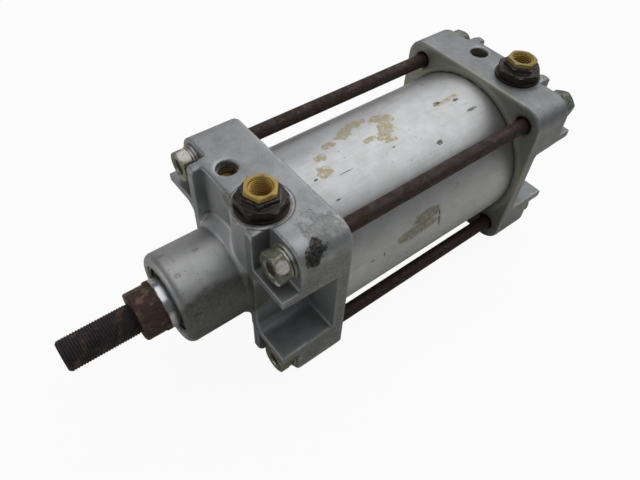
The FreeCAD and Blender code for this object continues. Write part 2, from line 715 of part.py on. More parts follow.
def cushion_needle(side):
    """Slotted needle screw with a tapered tip."""
    top = SIDE / 2 - NEEDLE_TOP
    shoulder = top - NEEDLE_HEAD_LENGTH
    x, y = side.port, side.needle_y
    groove = top - NEEDLE_SEAL_AT
    body = revolve_z([
        (top, 0), (top, NEEDLE_HEAD_R - 0.5), (top - 0.5, NEEDLE_HEAD_R), (groove, NEEDLE_HEAD_R),
        (groove, NEEDLE_HEAD_R - NEEDLE_SEAL_DEPTH), (groove - NEEDLE_SEAL_WIDTH, NEEDLE_HEAD_R - NEEDLE_SEAL_DEPTH),
        (groove - NEEDLE_SEAL_WIDTH, NEEDLE_HEAD_R), (shoulder, NEEDLE_HEAD_R), (shoulder, NEEDLE_STEM_R),
        (shoulder - NEEDLE_STEM_LENGTH + NEEDLE_TIP_LENGTH, NEEDLE_STEM_R), (shoulder - NEEDLE_STEM_LENGTH, 0.8),
        (shoulder - NEEDLE_STEM_LENGTH, 0)], x, y)
    slot = box(x - 8, x + 8, y - NEEDLE_SLOT / 2, y + NEEDLE_SLOT / 2, top - NEEDLE_SLOT_DEPTH, top + 1)
    slot.rotate(Vector(x, y, 0), AXIS_Z, 25)
    return body.cut(slot)


def needle_o_ring(side):
    """Seal ring in the needle's groove; it rises with the needle and doesn't turn."""
    groove = SIDE / 2 - NEEDLE_TOP - NEEDLE_SEAL_AT
    low, high = groove - NEEDLE_SEAL_WIDTH + CLEAR, groove - CLEAR
    middle = (low + high) / 2
    inner = NEEDLE_HEAD_R - NEEDLE_SEAL_DEPTH + CLEAR
    outer = NEEDLE_HOLE_R - CLEAR
    half = (high - low) / 2
    return revolve_z([(low, inner + 0.4), (middle - half * 0.4, inner), (middle + half * 0.4, inner), (high, inner + 0.4),
                      (high, outer - 0.4), (middle + half * 0.4, outer), (middle - half * 0.4, outer), (low, outer - 0.4)],
                     side.port, side.needle_y)


def needle_retaining_rings():
    """Open rings that keep both needles from being screwed right out."""
    solids = []
    for side in (FRONT, REAR):
        x, y = side.port, side.needle_y
        high = SIDE / 2 - NEEDLE_RING_AT
        low = high - NEEDLE_RING_THICK
        ring = rod_z(NEEDLE_HOLE_R + NEEDLE_RING_BITE, x, y, low, high)
        ring = ring.cut(rod_z(NEEDLE_HOLE_R - 0.9, x, y, low - 1, high + 1))
        solids.append(ring.cut(box(x - 1.5, x + 1.5, y, y + 10, low - 1, high + 1)))
    return Part.makeCompound(solids)


def write(name, shape):
    """Clean a shape and write it as one STEP file."""
    solids = [solid.removeSplitter() for solid in shape.Solids]
    shape = solids[0] if len(solids) == 1 else Part.makeCompound(solids)
    shape.exportStep(f"parts/{name}.step")


def main():
    """Build every piece."""
    pieces = {
        "front_cover": front_cover(),
        "rear_cover": rear_cover(),
        "barrel_tube": barrel_tube(),
        "front_tube_gasket": tube_gasket(FRONT),
        "rear_tube_gasket": tube_gasket(REAR),
        "front_tie_nuts": tie_nuts(FRONT),
        "rear_tie_nuts": tie_nuts(REAR),
        "front_flat_washers": flat_washers(FRONT),
        "rear_flat_washers": flat_washers(REAR),
        "front_spring_washers": spring_washers(FRONT),
        "rear_spring_washers": spring_washers(REAR),
        "piston_rod": piston_rod(),
        "piston_front_half": piston_half(True),
        "piston_rear_half": piston_half(False),
        "piston_o_ring": piston_o_ring(),
        "piston_seals": piston_seals(),
        "wear_ring": wear_ring(),
        "front_cushion_sleeve": front_cushion_sleeve(),
        "rear_cushion_spear": rear_cushion_spear(),
        "piston_nut": piston_nut(),
        "front_cushion_seal": cushion_seal(FRONT),
        "rear_cushion_seal": cushion_seal(REAR),
        "rod_bush": rod_bush(),
        "rod_seal": rod_seal(),
        "seal_spacer": seal_spacer(),
        "wiper_seal": wiper_seal(),
        "gland_retaining_ring": gland_retaining_ring(),
        "port_washers": port_washers(),
        "front_port_bushing": port_bushing(FRONT, 27),
        "rear_port_bushing": port_bushing(REAR, 40),
        "front_port_reducer": port_reducer(FRONT, 52),
        "rear_port_reducer": port_reducer(REAR, 13),
        "front_cushion_needle": cushion_needle(FRONT),
        "rear_cushion_needle": cushion_needle(REAR),
        "front_needle_o_ring": needle_o_ring(FRONT),
        "rear_needle_o_ring": needle_o_ring(REAR),
        "needle_retaining_rings": needle_retaining_rings(),
    }
    for i, (y, z) in enumerate(tie_places()):
        pieces[f"tie_rod_{i + 1}"] = tie_rod(y, z)
    for name, shape in pieces.items():
        write(name, shape)
        print(name, len(shape.Solids), "solids,", round(shape.Volume / 1000.0, 2), "cm3")


main()
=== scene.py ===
"""Looks of a double acting pneumatic cylinder with tie rods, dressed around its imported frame.

Lengths are written in millimetres times MM, in the frame's own axes: +X runs along the rod axis
towards the rod end, +Z goes up through both air ports, and the origin is at the foot of the pilot boss.
"""
import logging
import math
from collections.abc import Callable
from dataclasses import dataclass
from enum import Enum

import bmesh
import bpy
import numpy as np
from mathutils import Euler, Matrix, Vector


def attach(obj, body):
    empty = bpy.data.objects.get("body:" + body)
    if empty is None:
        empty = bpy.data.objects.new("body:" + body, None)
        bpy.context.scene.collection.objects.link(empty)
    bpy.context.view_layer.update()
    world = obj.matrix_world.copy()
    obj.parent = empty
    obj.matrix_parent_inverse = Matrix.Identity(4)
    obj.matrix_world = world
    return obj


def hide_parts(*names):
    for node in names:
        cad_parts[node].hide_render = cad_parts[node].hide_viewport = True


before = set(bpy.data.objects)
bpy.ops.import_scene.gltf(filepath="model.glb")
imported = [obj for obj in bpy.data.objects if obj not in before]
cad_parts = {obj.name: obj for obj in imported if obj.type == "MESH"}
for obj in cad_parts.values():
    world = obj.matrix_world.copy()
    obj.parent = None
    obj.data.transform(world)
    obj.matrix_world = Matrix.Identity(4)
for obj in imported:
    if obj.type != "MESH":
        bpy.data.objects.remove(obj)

MM = 0.001
DEG = math.pi / 180.0
ROOT = "cylinder"
ROD_BODY = "rod"
WEAR = ("wear", "crease")
BARREL_OUT = 52.0 * MM
BOSS_OUT = 27.5 * MM
CENTRE = (0.0, 0.0, 0.0)
# Factors that leave one axis out of a distance
OFF_X = (0.0, 1.0, 1.0)
OFF_Z = (1.0, 1.0, 0.0)
LOG = logging.getLogger("cylinder")

Socket = bpy.types.NodeSocket
Colour = tuple[float, float, float]


class Axis(Enum):
    """Axis that a turned or hexagonal piece stands on."""

    ALONG = "x"
    UP = "z"


# Shape: grids of points

def placed(along: np.ndarray, radius: np.ndarray, angle: np.ndarray, axis: Axis,
           centre: tuple[float, float]) -> np.ndarray:
    """Points from cylinder coordinates.

    Round the X axis a point is (along, y + r cos a, z + r sin a). Round a vertical axis it is
    (x + r cos a, y + r sin a, along).

    Args:
        along: Place on the axis, any grid shape.
        radius: Distance from the axis, same shape.
        angle: Angle about the axis, same shape.
        axis: Which way the axis runs.
        centre: Where the axis passes, (y, z) for X and (x, y) for Z.

    Returns:
        Array of points with a last dimension of three.
    """
    first = centre[0] + radius * np.cos(angle)
    second = centre[1] + radius * np.sin(angle)
    parts = (along, first, second) if axis is Axis.ALONG else (first, second, along)
    return np.stack(np.broadcast_arrays(*parts), axis=-1)


def eased(profile: list[tuple[float, float]], radius: float, steps: int = 4) -> np.ndarray:
    """Closed profile whose corners are rounded off.

    Each corner P gives way to the quadratic curve (1-t)^2 A + 2t(1-t) P + t^2 B, where A and B lie
    one radius back and on along the two sides, or at 0.45 of a side that is too short.

    Args:
        profile: Corners as (along, radius) pairs.
        radius: How far from each corner the easing starts.
        steps: Points per corner.

    Returns:
        Array of (along, radius) rows.
    """
    corner = np.asarray(profile, float)
    back = np.roll(corner, 1, axis=0) - corner
    onward = np.roll(corner, -1, axis=0) - corner
    t = np.linspace(0.0, 1.0, steps)[None, :, None]
    ends = []
    for side in (back, onward):
        length = np.maximum(np.linalg.norm(side, axis=1, keepdims=True), 1e-12)
        ends.append(corner + side / length * np.minimum(radius, 0.45 * length))
    start, stop = ends[0][:, None], ends[1][:, None]
    curve = (1 - t) ** 2 * start + 2 * t * (1 - t) * corner[:, None] + t ** 2 * stop
    return curve.reshape(-1, 2)


def tooth(along: np.ndarray, angle: np.ndarray, pitch: float) -> np.ndarray:
    """Height of a right-hand thread, 0 at the root and 1 at the crest.

    The phase is along / pitch minus angle / one turn. A triangle wave of that phase is stretched by
    a quarter and cut off at 0 and 1, which leaves flat crests and roots.
    """
    phase = np.mod(along / pitch - angle / (2 * np.pi), 1.0)
    return np.clip(np.abs(2.0 * phase - 1.0) * 1.25 - 0.125, 0.0, 1.0)


def full_turn(columns: int, start: float = 0.0) -> np.ndarray:
    """Angles of one turn as a single row, the last step left out."""
    return (start + np.linspace(0.0, 2 * np.pi, columns, endpoint=False))[None, :]


class Grid:
    """Collects grid surfaces and turns them into one mesh object."""

    def __init__(self) -> None:
        """Start with no surface."""
        self.points: list[np.ndarray] = []
        self.quads: list[np.ndarray] = []
        self.count = 0

    def add(self, points: np.ndarray, wrap_rows: bool = False, capped: bool = False) -> "Grid":
        """Add one surface whose columns close round.

        Point (i, j) is joined to (i, j+1), (i+1, j+1) and (i+1, j).

        Args:
            points: Array of rows by columns by three.
            wrap_rows: Whether the last row joins the first.
            capped: Whether each end closes on the middle of its row.

        Returns:
            This grid, so that calls chain.
        """
        if capped:
            ends = [np.broadcast_to(row.mean(axis=0), row.shape)[None] for row in (points[0], points[-1])]
            points = np.concatenate([ends[0], points, ends[1]])
        rows, columns = points.shape[:2]
        index = self.count + np.arange(rows * columns).reshape(rows, columns)
        beside = np.roll(index, -1, axis=1)
        over, across = np.roll(index, -1, axis=0), np.roll(beside, -1, axis=0)
        quads = np.stack([index, beside, across, over], axis=-1)
        quads = quads if wrap_rows else quads[:-1]
        self.points.append(points.reshape(-1, 3))
        self.quads.append(quads.reshape(-1, 4))
        self.count += rows * columns
        return self

    def build(self, name: str, sharp: float = 38.0) -> bpy.types.Object:
        """Object with merged seams and poles and outward faces.

        Args:
            name: Name of the object and its mesh.
            sharp: Angle in degrees above which an edge stays sharp.

        Returns:
            The new object, at the origin.
        """
        points = np.concatenate(self.points).astype(np.float32)
        quads = np.concatenate(self.quads).astype(np.int32)
        mesh = bpy.data.meshes.new(name)
        mesh.vertices.add(len(points))
        mesh.vertices.foreach_set("co", points.ravel())
        mesh.loops.add(quads.size)
        mesh.loops.foreach_set("vertex_index", quads.ravel())
        mesh.polygons.add(len(quads))
        mesh.polygons.foreach_set("loop_start", np.arange(0, quads.size, 4, dtype=np.int32))
        mesh.update(calc_edges=True)
        return finished(name, mesh, sharp)


def finished(name: str, mesh: bpy.types.Mesh, sharp: float) -> bpy.types.Object:
    """Object whose doubles are merged, whose faces point outwards and are shaded smooth.

    Args:
        name: Name of the object.
        mesh: Mesh in its place.
        sharp: Angle in degrees above which an edge stays sharp.

    Returns:
        The new object, linked to the scene.
    """
    shell = bmesh.new()
    shell.from_mesh(mesh)
    bmesh.ops.remove_doubles(shell, verts=shell.verts, dist=0.2e-6)
    bmesh.ops.dissolve_degenerate(shell, edges=shell.edges, dist=0.1e-6)
    bmesh.ops.recalc_face_normals(shell, faces=shell.faces)
    shell.to_mesh(mesh)
    shell.free()
    mesh.polygons.foreach_set("use_smooth", np.ones(len(mesh.polygons), bool))
    mesh.set_sharp_from_angle(angle=sharp * DEG)
    made = bpy.data.objects.new(name, mesh)
    bpy.context.scene.collection.objects.link(made)
    return made


def turned(profile: np.ndarray, axis: Axis = Axis.ALONG, centre: tuple[float, float] = (0.0, 0.0),
           columns: int = 128) -> np.ndarray:
    """Points of a ring turned from a closed profile.

    Args:
        profile: Rows of (along, radius).
        axis: Turning axis.
        centre: Where the axis passes.
        columns: Points round.

    Returns:
        Grid of points, a row for each row of the profile.
    """
    return placed(profile[:, :1], profile[:, 1:], full_turn(columns), axis, centre)


def carried(section: np.ndarray, angle: np.ndarray, slide: np.ndarray | float,
            centre: tuple[float, float] = (0.0, 0.0)) -> np.ndarray:
    """Points of an open ring: a section carried round the X axis from one end of its gap to the other.

    Args:
        section: Rows of (along, radius).
        angle: Column of the angles that the section passes.
        slide: How far along X the section has moved at each angle.
        centre: Where the axis passes.

    Returns:
        Grid of points, a row for each angle.
    """
    along, radius = section[None, :, 0], section[None, :, 1]
    return placed(along + slide + 0 * angle, radius + 0 * angle, angle + 0 * along, Axis.ALONG, centre)


@dataclass
class Hexagon:
    """Hexagonal head round a bore, as a closed surface of stations from the bore over the top to the foot.

    The distance to the side at an angle is flat / cos(angle from the middle of that side), eased at the
    corners. A chamfer cone lowers the edge by the slope times what the side stands out past the flat. A
    crown raises the top towards the bore. A skirt goes on below the foot, down to the bottom of the bore.
    """

    across: float
    height: float
    bore: float
    foot: float
    sign: float = 1.0
    corner: float = 0.0
    pitch: float = 0.0
    depth: float = 0.0
    lead: float = 0.3 * MM
    both: bool = True
    skirt: tuple[tuple[float, float], ...] = ()
    bottom: float = 0.0
    columns: int = 120
    slope: float = 0.62
    edge: float = 0.12 * MM
    crown: float = 0.0
    corner_cut: float = 0.25 * MM
    hard: float = 6.0 / MM

    def side(self, angle: np.ndarray) -> np.ndarray:
        """Distance to the side at each angle, its corners eased by a soft minimum."""
        flat = self.across / 2
        from_middle = np.mod(angle - self.corner, 60 * DEG) - 30 * DEG
        reach = flat / np.cos(from_middle)
        cap = self.across / math.sqrt(3.0) - self.corner_cut
        short = np.exp(-self.hard * (reach - flat)) + np.exp(-self.hard * (cap - flat))
        return flat - np.log(short) / self.hard

    def bore_rows(self, angle: np.ndarray) -> tuple[np.ndarray, np.ndarray]:
        """Heights and radii up the bore: a thread where there is a pitch, opened by a cone at the top."""
        top = self.height + self.crown
        rows = 2 if not self.pitch else int((top - self.bottom) / self.pitch * 8) + 2
        level = np.linspace(self.bottom, top, rows)[:, None] + 0 * angle
        inner = self.bore + 0 * level
        if self.pitch:
            inner = inner + self.depth * (1 - tooth(self.foot + self.sign * level, angle, self.pitch))
        opened = self.bore + self.depth + self.lead - (top - level)
        return level, np.maximum(inner, opened)

    def stations(self) -> tuple[np.ndarray, np.ndarray, np.ndarray]:
        """Levels, radii and angles of every row of the closed surface."""
        angle = full_turn(self.columns, self.corner)
        flat, side = self.across / 2, self.side(angle)
        out = side - flat
        levels, radii = self.bore_rows(angle)
        cone = [(0.0, flat - self.edge), (0.4 * self.edge, flat),
                (self.slope * out * 0.5 + self.edge / 2, flat + out * 0.5),
                (self.slope * out + self.edge, side - self.edge * 0.3),
                (self.slope * out + 2.5 * self.edge, side)]
        rows = [(self.height, flat - 3 * self.edge), *((self.height - drop, reach) for drop, reach in cone)]
        rows += cone[::-1] if self.both else [(self.edge, side), (0.0, side - self.edge)]
        rows += [*self.skirt, (self.bottom, self.bore + self.depth + 0.2 * MM)]
        outline = [np.stack([np.broadcast_to(np.ravel(row[column]), angle[0].shape) for row in rows])
                   for column in range(2)]
        levels, radii = np.concatenate([levels, outline[0]]), np.concatenate([radii, outline[1]])
        return levels, radii, np.broadcast_to(angle, levels.shape)

    def points(self, axis: Axis, centre: tuple[float, float]) -> np.ndarray:
        """Grid of points, standing on the foot along the axis."""
        levels, radii, angles = self.stations()
        return placed(self.foot + self.sign * levels, radii, angles, axis, centre)


# Shading: nodes and shared groups

class Nodes:
    """Adds nodes to one tree; most calls give back the socket that the new node puts out."""

    def __init__(self, tree: bpy.types.NodeTree) -> None:
        """Keep the tree."""
        self.tree = tree

    def add(self, kind: str, inputs: dict | None = None, **settings) -> bpy.types.Node:
        """One node with its settings and inputs.

        Args:
            kind: Blender's node type.
            inputs: Value or socket for each input, by name or number.
            **settings: Node properties.

        Returns:
            The new node.
        """
        node = self.tree.nodes.new(kind)
        for key, value in settings.items():
            setattr(node, key, value)
        for key, value in (inputs or {}).items():
            self.feed(node.inputs[key], value)
        return node

    def feed(self, target: Socket, value: Socket | float | tuple) -> None:
        """Link a socket to an input, or set the input's own value."""
        if isinstance(value, Socket):
            self.tree.links.new(value, target)
        elif isinstance(value, tuple) and len(value) == 3 and len(target.default_value) == 4:
            target.default_value = (*value, 1.0)
        else:
            target.default_value = value

    def math(self, operation: str, a: Socket | float, b: Socket | float = 0.0,
             clamp: bool = False) -> Socket:
        """One math node."""
        return self.add("ShaderNodeMath", {0: a, 1: b}, operation=operation, use_clamp=clamp).outputs[0]

    def product(self, *values: Socket | float) -> Socket:
        """Values multiplied together."""
        total = values[0]
        for value in values[1:]:
            total = self.math("MULTIPLY", total, value)
        return total

    def vector(self, operation: str, a: Socket | tuple, b: Socket | tuple | float = CENTRE) -> Socket:
        """One vector math node; a scale takes a number as its second input."""
        slot = "Scale" if operation == "SCALE" else 1
        node = self.add("ShaderNodeVectorMath", {0: a, slot: b}, operation=operation)
        return node.outputs["Value" if operation in ("DOT_PRODUCT", "LENGTH") else 0]

    def noise(self, position: Socket, scale: Socket | float, detail: float = 4.0, rough: float = 0.55,
              warp: float = 0.0) -> Socket:
        """Fractal noise between 0 and 1."""
        inputs = {"Vector": position, "Scale": scale, "Detail": detail, "Roughness": rough,
                  "Distortion": warp}
        return self.add("ShaderNodeTexNoise", inputs).outputs["Fac"]

    def window(self, value: Socket, low: Socket | float, high: Socket | float, to_low: float = 0.0,
               to_high: float = 1.0) -> Socket:
        """Smooth step of a value from one number to another between two limits."""
        inputs = {"Value": value, "From Min": low, "From Max": high, "To Min": to_low, "To Max": to_high}
        return self.add("ShaderNodeMapRange", inputs, interpolation_type="SMOOTHSTEP").outputs[0]

    def past(self, value: Socket, limit: float, ease: float) -> Socket:
        """Mask that rises from 0 to 1 as a value passes a limit, eased to both sides of it."""
        return self.window(value, limit - ease, limit + ease)

    def within(self, value: Socket, limit: float, ease: float) -> Socket:
        """Mask that falls from 1 to 0 as a value passes a limit, eased to both sides of it."""
        return self.window(value, limit + ease, limit - ease)

    def rim(self, mask: Socket) -> Socket:
        """Where a mask is neither 0 nor 1: the mask times what it lacks of 1, a quarter at most."""
        return self.product(mask, self.math("SUBTRACT", 1.0, mask))

    def part(self, place: Socket, axis: int) -> Socket:
        """One coordinate of a place: 0 for X, 1 for Y, 2 for Z."""
        return self.add("ShaderNodeSeparateXYZ", {0: place}).outputs[axis]

    def away(self, place: Socket, centre: tuple[float, float, float],
             off: tuple[float, float, float]) -> Socket:
        """Distance from a line through a centre: the offset's length with the line's own axis left out.

        Args:
            place: Object coordinates.
            centre: A point on the line.
            off: 0 for the line's axis and 1 for the others.

        Returns:
            The distance, in metres.
        """
        offset = self.vector("SUBTRACT", place, centre)
        return self.vector("LENGTH", self.vector("MULTIPLY", offset, off))

    def blend(self, mask: Socket | float, a: Socket | Colour, b: Socket | Colour) -> Socket:
        """Colour between a and b by a mask."""
        node = self.add("ShaderNodeMix", data_type="RGBA")
        for target, value in zip((node.inputs[0], node.inputs[6], node.inputs[7]), (mask, a, b)):
            self.feed(target, value)
        return node.outputs[2]

    def between(self, mask: Socket, a: Socket | float, b: Socket | float) -> Socket:
        """Number between a and b by a mask."""
        node = self.add("ShaderNodeMix", data_type="FLOAT")
        for target, value in zip((node.inputs[0], node.inputs[2], node.inputs[3]), (mask, a, b)):
            self.feed(target, value)
        return node.outputs[0]

    def position(self) -> Socket:
        """Object coordinates, in metres."""
        return self.add("ShaderNodeTexCoord").outputs["Object"]

    def bump(self, height: Socket, strength: float, distance: float) -> Socket:
        """Normal bent by a height."""
        inputs = {"Height": height, "Strength": strength, "Distance": distance}
        return self.add("ShaderNodeBump", inputs).outputs[0]


class Effects:
    """Shader groups that several finishes share, each built once."""

    def __init__(self) -> None:
        """Build every group."""
        sized = {"Position": "Vector", "Size": "Float"}
        mask = {"Mask": "Float"}
        self.grain = self.make("surface_grain", {**sized, "Stretch": "Vector"},
                               {"Grain": "Float", "Cloud": "Float", "Specks": "Float"}, self.fill_grain)
        self.edges = self.make("edge_wear", {**sized, "Radius": "Float"}, mask, self.fill_edges)
        self.rust = self.make("rust", {**sized, "Spread": "Float"},
                              {**mask, "Color": "Color", "Height": "Float"}, self.fill_rust)
        self.spot = self.make("soft_spot", {**sized, "Centre": "Vector", "Reach": "Vector", "Fray": "Float"},
                              mask, self.fill_spot)

    @staticmethod
    def make(name: str, inputs: dict[str, str], outputs: dict[str, str],
             fill: Callable) -> bpy.types.NodeTree:
        """One group with named sockets.

        Args:
            name: Name of the group.
            inputs: Kind of each input socket by its name.
            outputs: Kind of each output socket by its name.
            fill: Function that takes the nodes and the group's inputs and gives the outputs by name.

        Returns:
            The node group.
        """
        tree = bpy.data.node_groups.new(name, "ShaderNodeTree")
        for side, sockets in (("INPUT", inputs), ("OUTPUT", outputs)):
            for label, kind in sockets.items():
                tree.interface.new_socket(label, in_out=side, socket_type=f"NodeSocket{kind}")
        nodes = Nodes(tree)
        given = nodes.add("NodeGroupInput")
        made = fill(nodes, {label: given.outputs[label] for label in inputs})
        nodes.add("NodeGroupOutput", made)
        return tree

    @staticmethod
    def fill_grain(n: Nodes, given: dict[str, Socket]) -> dict[str, Socket]:
        """Fine grain, slow clouds twelve times as large, and scattered dark specks."""
        place = n.vector("MULTIPLY", given["Position"], given["Stretch"])
        fine = n.math("DIVIDE", 1.0, given["Size"])
        coarse = n.math("DIVIDE", fine, 12.0)
        scale = n.math("DIVIDE", fine, 3.0)
        cells = n.add("ShaderNodeTexVoronoi", {"Vector": place, "Scale": scale, "Randomness": 1.0})
        chance = n.add("ShaderNodeSeparateColor", {0: cells.outputs["Color"]}).outputs[0]
        size = n.math("MULTIPLY", n.math("SUBTRACT", chance, 0.80), 1.6)
        specks = n.window(n.math("SUBTRACT", size, cells.outputs["Distance"]), 0.0, 0.08)
        return {"Grain": n.noise(place, fine, 3.0, 0.6), "Cloud": n.noise(place, coarse, 5.0, 0.6, 0.3),
                "Specks": specks}

    @staticmethod
    def fill_edges(n: Nodes, given: dict[str, Socket]) -> dict[str, Socket]:
        """Worn edges: where the rounded normal leaves the true one, broken up by noise."""
        rounded = n.add("ShaderNodeBevel", {"Radius": given["Radius"]}, samples=4).outputs[0]
        true = n.add("ShaderNodeNewGeometry").outputs["Normal"]
        bent = n.math("SUBTRACT", 1.0, n.vector("DOT_PRODUCT", rounded, true))
        broken = n.noise(given["Position"], n.math("DIVIDE", 1.0, given["Size"]), 4.0, 0.65)
        return {"Mask": n.math("MULTIPLY", n.window(bent, 0.01, 0.12), n.window(broken, 0.32, 0.62))}

    @staticmethod
    def fill_rust(n: Nodes, given: dict[str, Socket]) -> dict[str, Socket]:
        """Rust: patches past a threshold, dark brown to orange, with a rough crust."""
        scale = n.math("DIVIDE", 1.0, given["Size"])
        cloud = n.noise(given["Position"], n.math("DIVIDE", scale, 5.0), 6.0, 0.65, 0.4)
        crust = n.noise(given["Position"], scale, 5.0, 0.7)
        limit = n.math("SUBTRACT", 1.0, given["Spread"])
        mixed = n.math("ADD", n.math("MULTIPLY", cloud, 0.75), n.math("MULTIPLY", crust, 0.25))
        mask = n.window(n.math("SUBTRACT", mixed, limit), -0.06, 0.06)
        ramp = n.add("ShaderNodeValToRGB", {0: crust})
        ramp.color_ramp.elements[0].position = 0.35
        ramp.color_ramp.elements[0].color = (0.020, 0.011, 0.009, 1.0)
        ramp.color_ramp.elements[1].position = 0.72
        ramp.color_ramp.elements[1].color = (0.145, 0.058, 0.026, 1.0)
        middle = ramp.color_ramp.elements.new(0.54)
        middle.color = (0.052, 0.026, 0.018, 1.0)
        return {"Mask": mask, "Color": ramp.outputs["Color"], "Height": crust}

    @staticmethod
    def fill_spot(n: Nodes, given: dict[str, Socket]) -> dict[str, Socket]:
        """Soft spot: 1 inside an ellipsoid of that reach about the centre, its rim frayed by noise."""
        away = n.vector("DIVIDE", n.vector("SUBTRACT", given["Position"], given["Centre"]), given["Reach"])
        noise = n.noise(given["Position"], n.math("DIVIDE", 1.0, given["Size"]), 5.0, 0.6)
        shift = n.math("MULTIPLY", n.math("SUBTRACT", noise, 0.5), given["Fray"])
        distance = n.math("ADD", n.vector("LENGTH", away), shift)
        return {"Mask": n.window(distance, 1.04, 0.74)}

    @staticmethod
    def place(n: Nodes, group: bpy.types.NodeTree, inputs: dict) -> dict[str, Socket]:
        """Put a group into a material and give its outputs by name."""
        node = n.add("ShaderNodeGroup", node_tree=group)
        for key, value in inputs.items():
            n.feed(node.inputs[key], value)
        return {socket.name: socket for socket in node.outputs}

    def grained(self, n: Nodes, place: Socket, size: float,
                stretch: tuple[float, float, float] = (1.0, 1.0, 1.0)) -> dict[str, Socket]:
        """Grain of one size, drawn out along an axis where its stretch is below 1."""
        return self.place(n, self.grain, {"Position": place, "Size": size, "Stretch": stretch})

    def rusted(self, n: Nodes, place: Socket, size: float, spread: float) -> dict[str, Socket]:
        """Rust of one size, covering more for a larger spread."""
        return self.place(n, self.rust, {"Position": place, "Size": size, "Spread": spread})

    def worn_edges(self, n: Nodes, place: Socket, radius: float, size: float) -> Socket:
        """Mask of the edges within a radius, broken up at a size."""
        return self.place(n, self.edges, {"Position": place, "Radius": radius, "Size": size})["Mask"]


def shade(red: float, green: float, blue: float) -> Colour:
    """Linear colour of a screen colour from 0 to 255, by the sRGB curve above its straight foot."""
    return tuple(((level / 255.0 + 0.055) / 1.055) ** 2.4 for level in (red, green, blue))


def grey(level: float, warm: float = 0.0) -> Colour:
    """Linear colour of a screen grey from 0 to 255, warmer for a positive shift of red against blue."""
    return shade(level + warm, level, level - warm)


@dataclass(frozen=True)
class Finish:
    """Base of every finish: a Principled shader that a subclass dresses."""

    name: str
    metallic: float = 1.0
    roughness: float = 0.45

    def make(self, effects: Effects) -> bpy.types.Material:
        """Material with this finish.

        Args:
            effects: The shared shader groups.

        Returns:
            The new material.
        """
        material = bpy.data.materials.new(self.name)
        material.use_nodes = True
        n = Nodes(material.node_tree)
        shader = material.node_tree.nodes["Principled BSDF"]
        shader.inputs["Metallic"].default_value = self.metallic
        shader.inputs["Roughness"].default_value = self.roughness
        self.dress(n, shader, effects, n.position())
        return material

    def dress(self, n: Nodes, shader: bpy.types.Node, effects: Effects, place: Socket) -> None:
        """Nodes that feed the shader; each finish has its own."""
        raise NotImplementedError


@dataclass(frozen=True)
class Spot:
    """A mark on a surface: its centre and reach in metres and how frayed its rim is."""

    centre: tuple[float, float, float]
    reach: tuple[float, float, float]
    fray: float
    size: float

    def mask(self, n: Nodes, effects: Effects, place: Socket) -> Socket:
        """Mask of the mark."""
        inputs = {"Position": place, "Centre": self.centre, "Reach": self.reach}
        return effects.place(n, effects.spot, {**inputs, "Fray": self.fray, "Size": self.size})["Mask"]


def spot(centre: tuple[float, ...], reach: tuple[float, ...], fray: float, size: float) -> Spot:
    """Mark whose centre, reach and rim size are given in millimetres."""
    return Spot(tuple(value * MM for value in centre), tuple(value * MM for value in reach), fray, size * MM)


def round_spot(radius: float, along: float, angle: float, reach: tuple[float, ...], fray: float,
               size: float) -> Spot:
    """Mark on a round surface about the X axis.

    Args:
        radius: Radius of the surface, in metres.
        along: Place along X, in millimetres.
        angle: Angle from the top towards +Y, in degrees.
        reach: Reach of the mark, in millimetres.
        fray: How frayed its rim is.
        size: Rim size, in millimetres.

    Returns:
        The mark, centred at (along, r sin a, r cos a).
    """
    turn = angle * DEG
    return spot((along, radius / MM * math.sin(turn), radius / MM * math.cos(turn)), reach, fray, size)


def marked(n: Nodes, effects: Effects, place: Socket, spots: tuple[Spot, ...]) -> Socket:
    """Mask of several marks, the largest of theirs at each place."""
    total = spots[0].mask(n, effects, place)
    for mark in spots[1:]:
        total = n.math("MAXIMUM", total, mark.mask(n, effects, place))
    return total


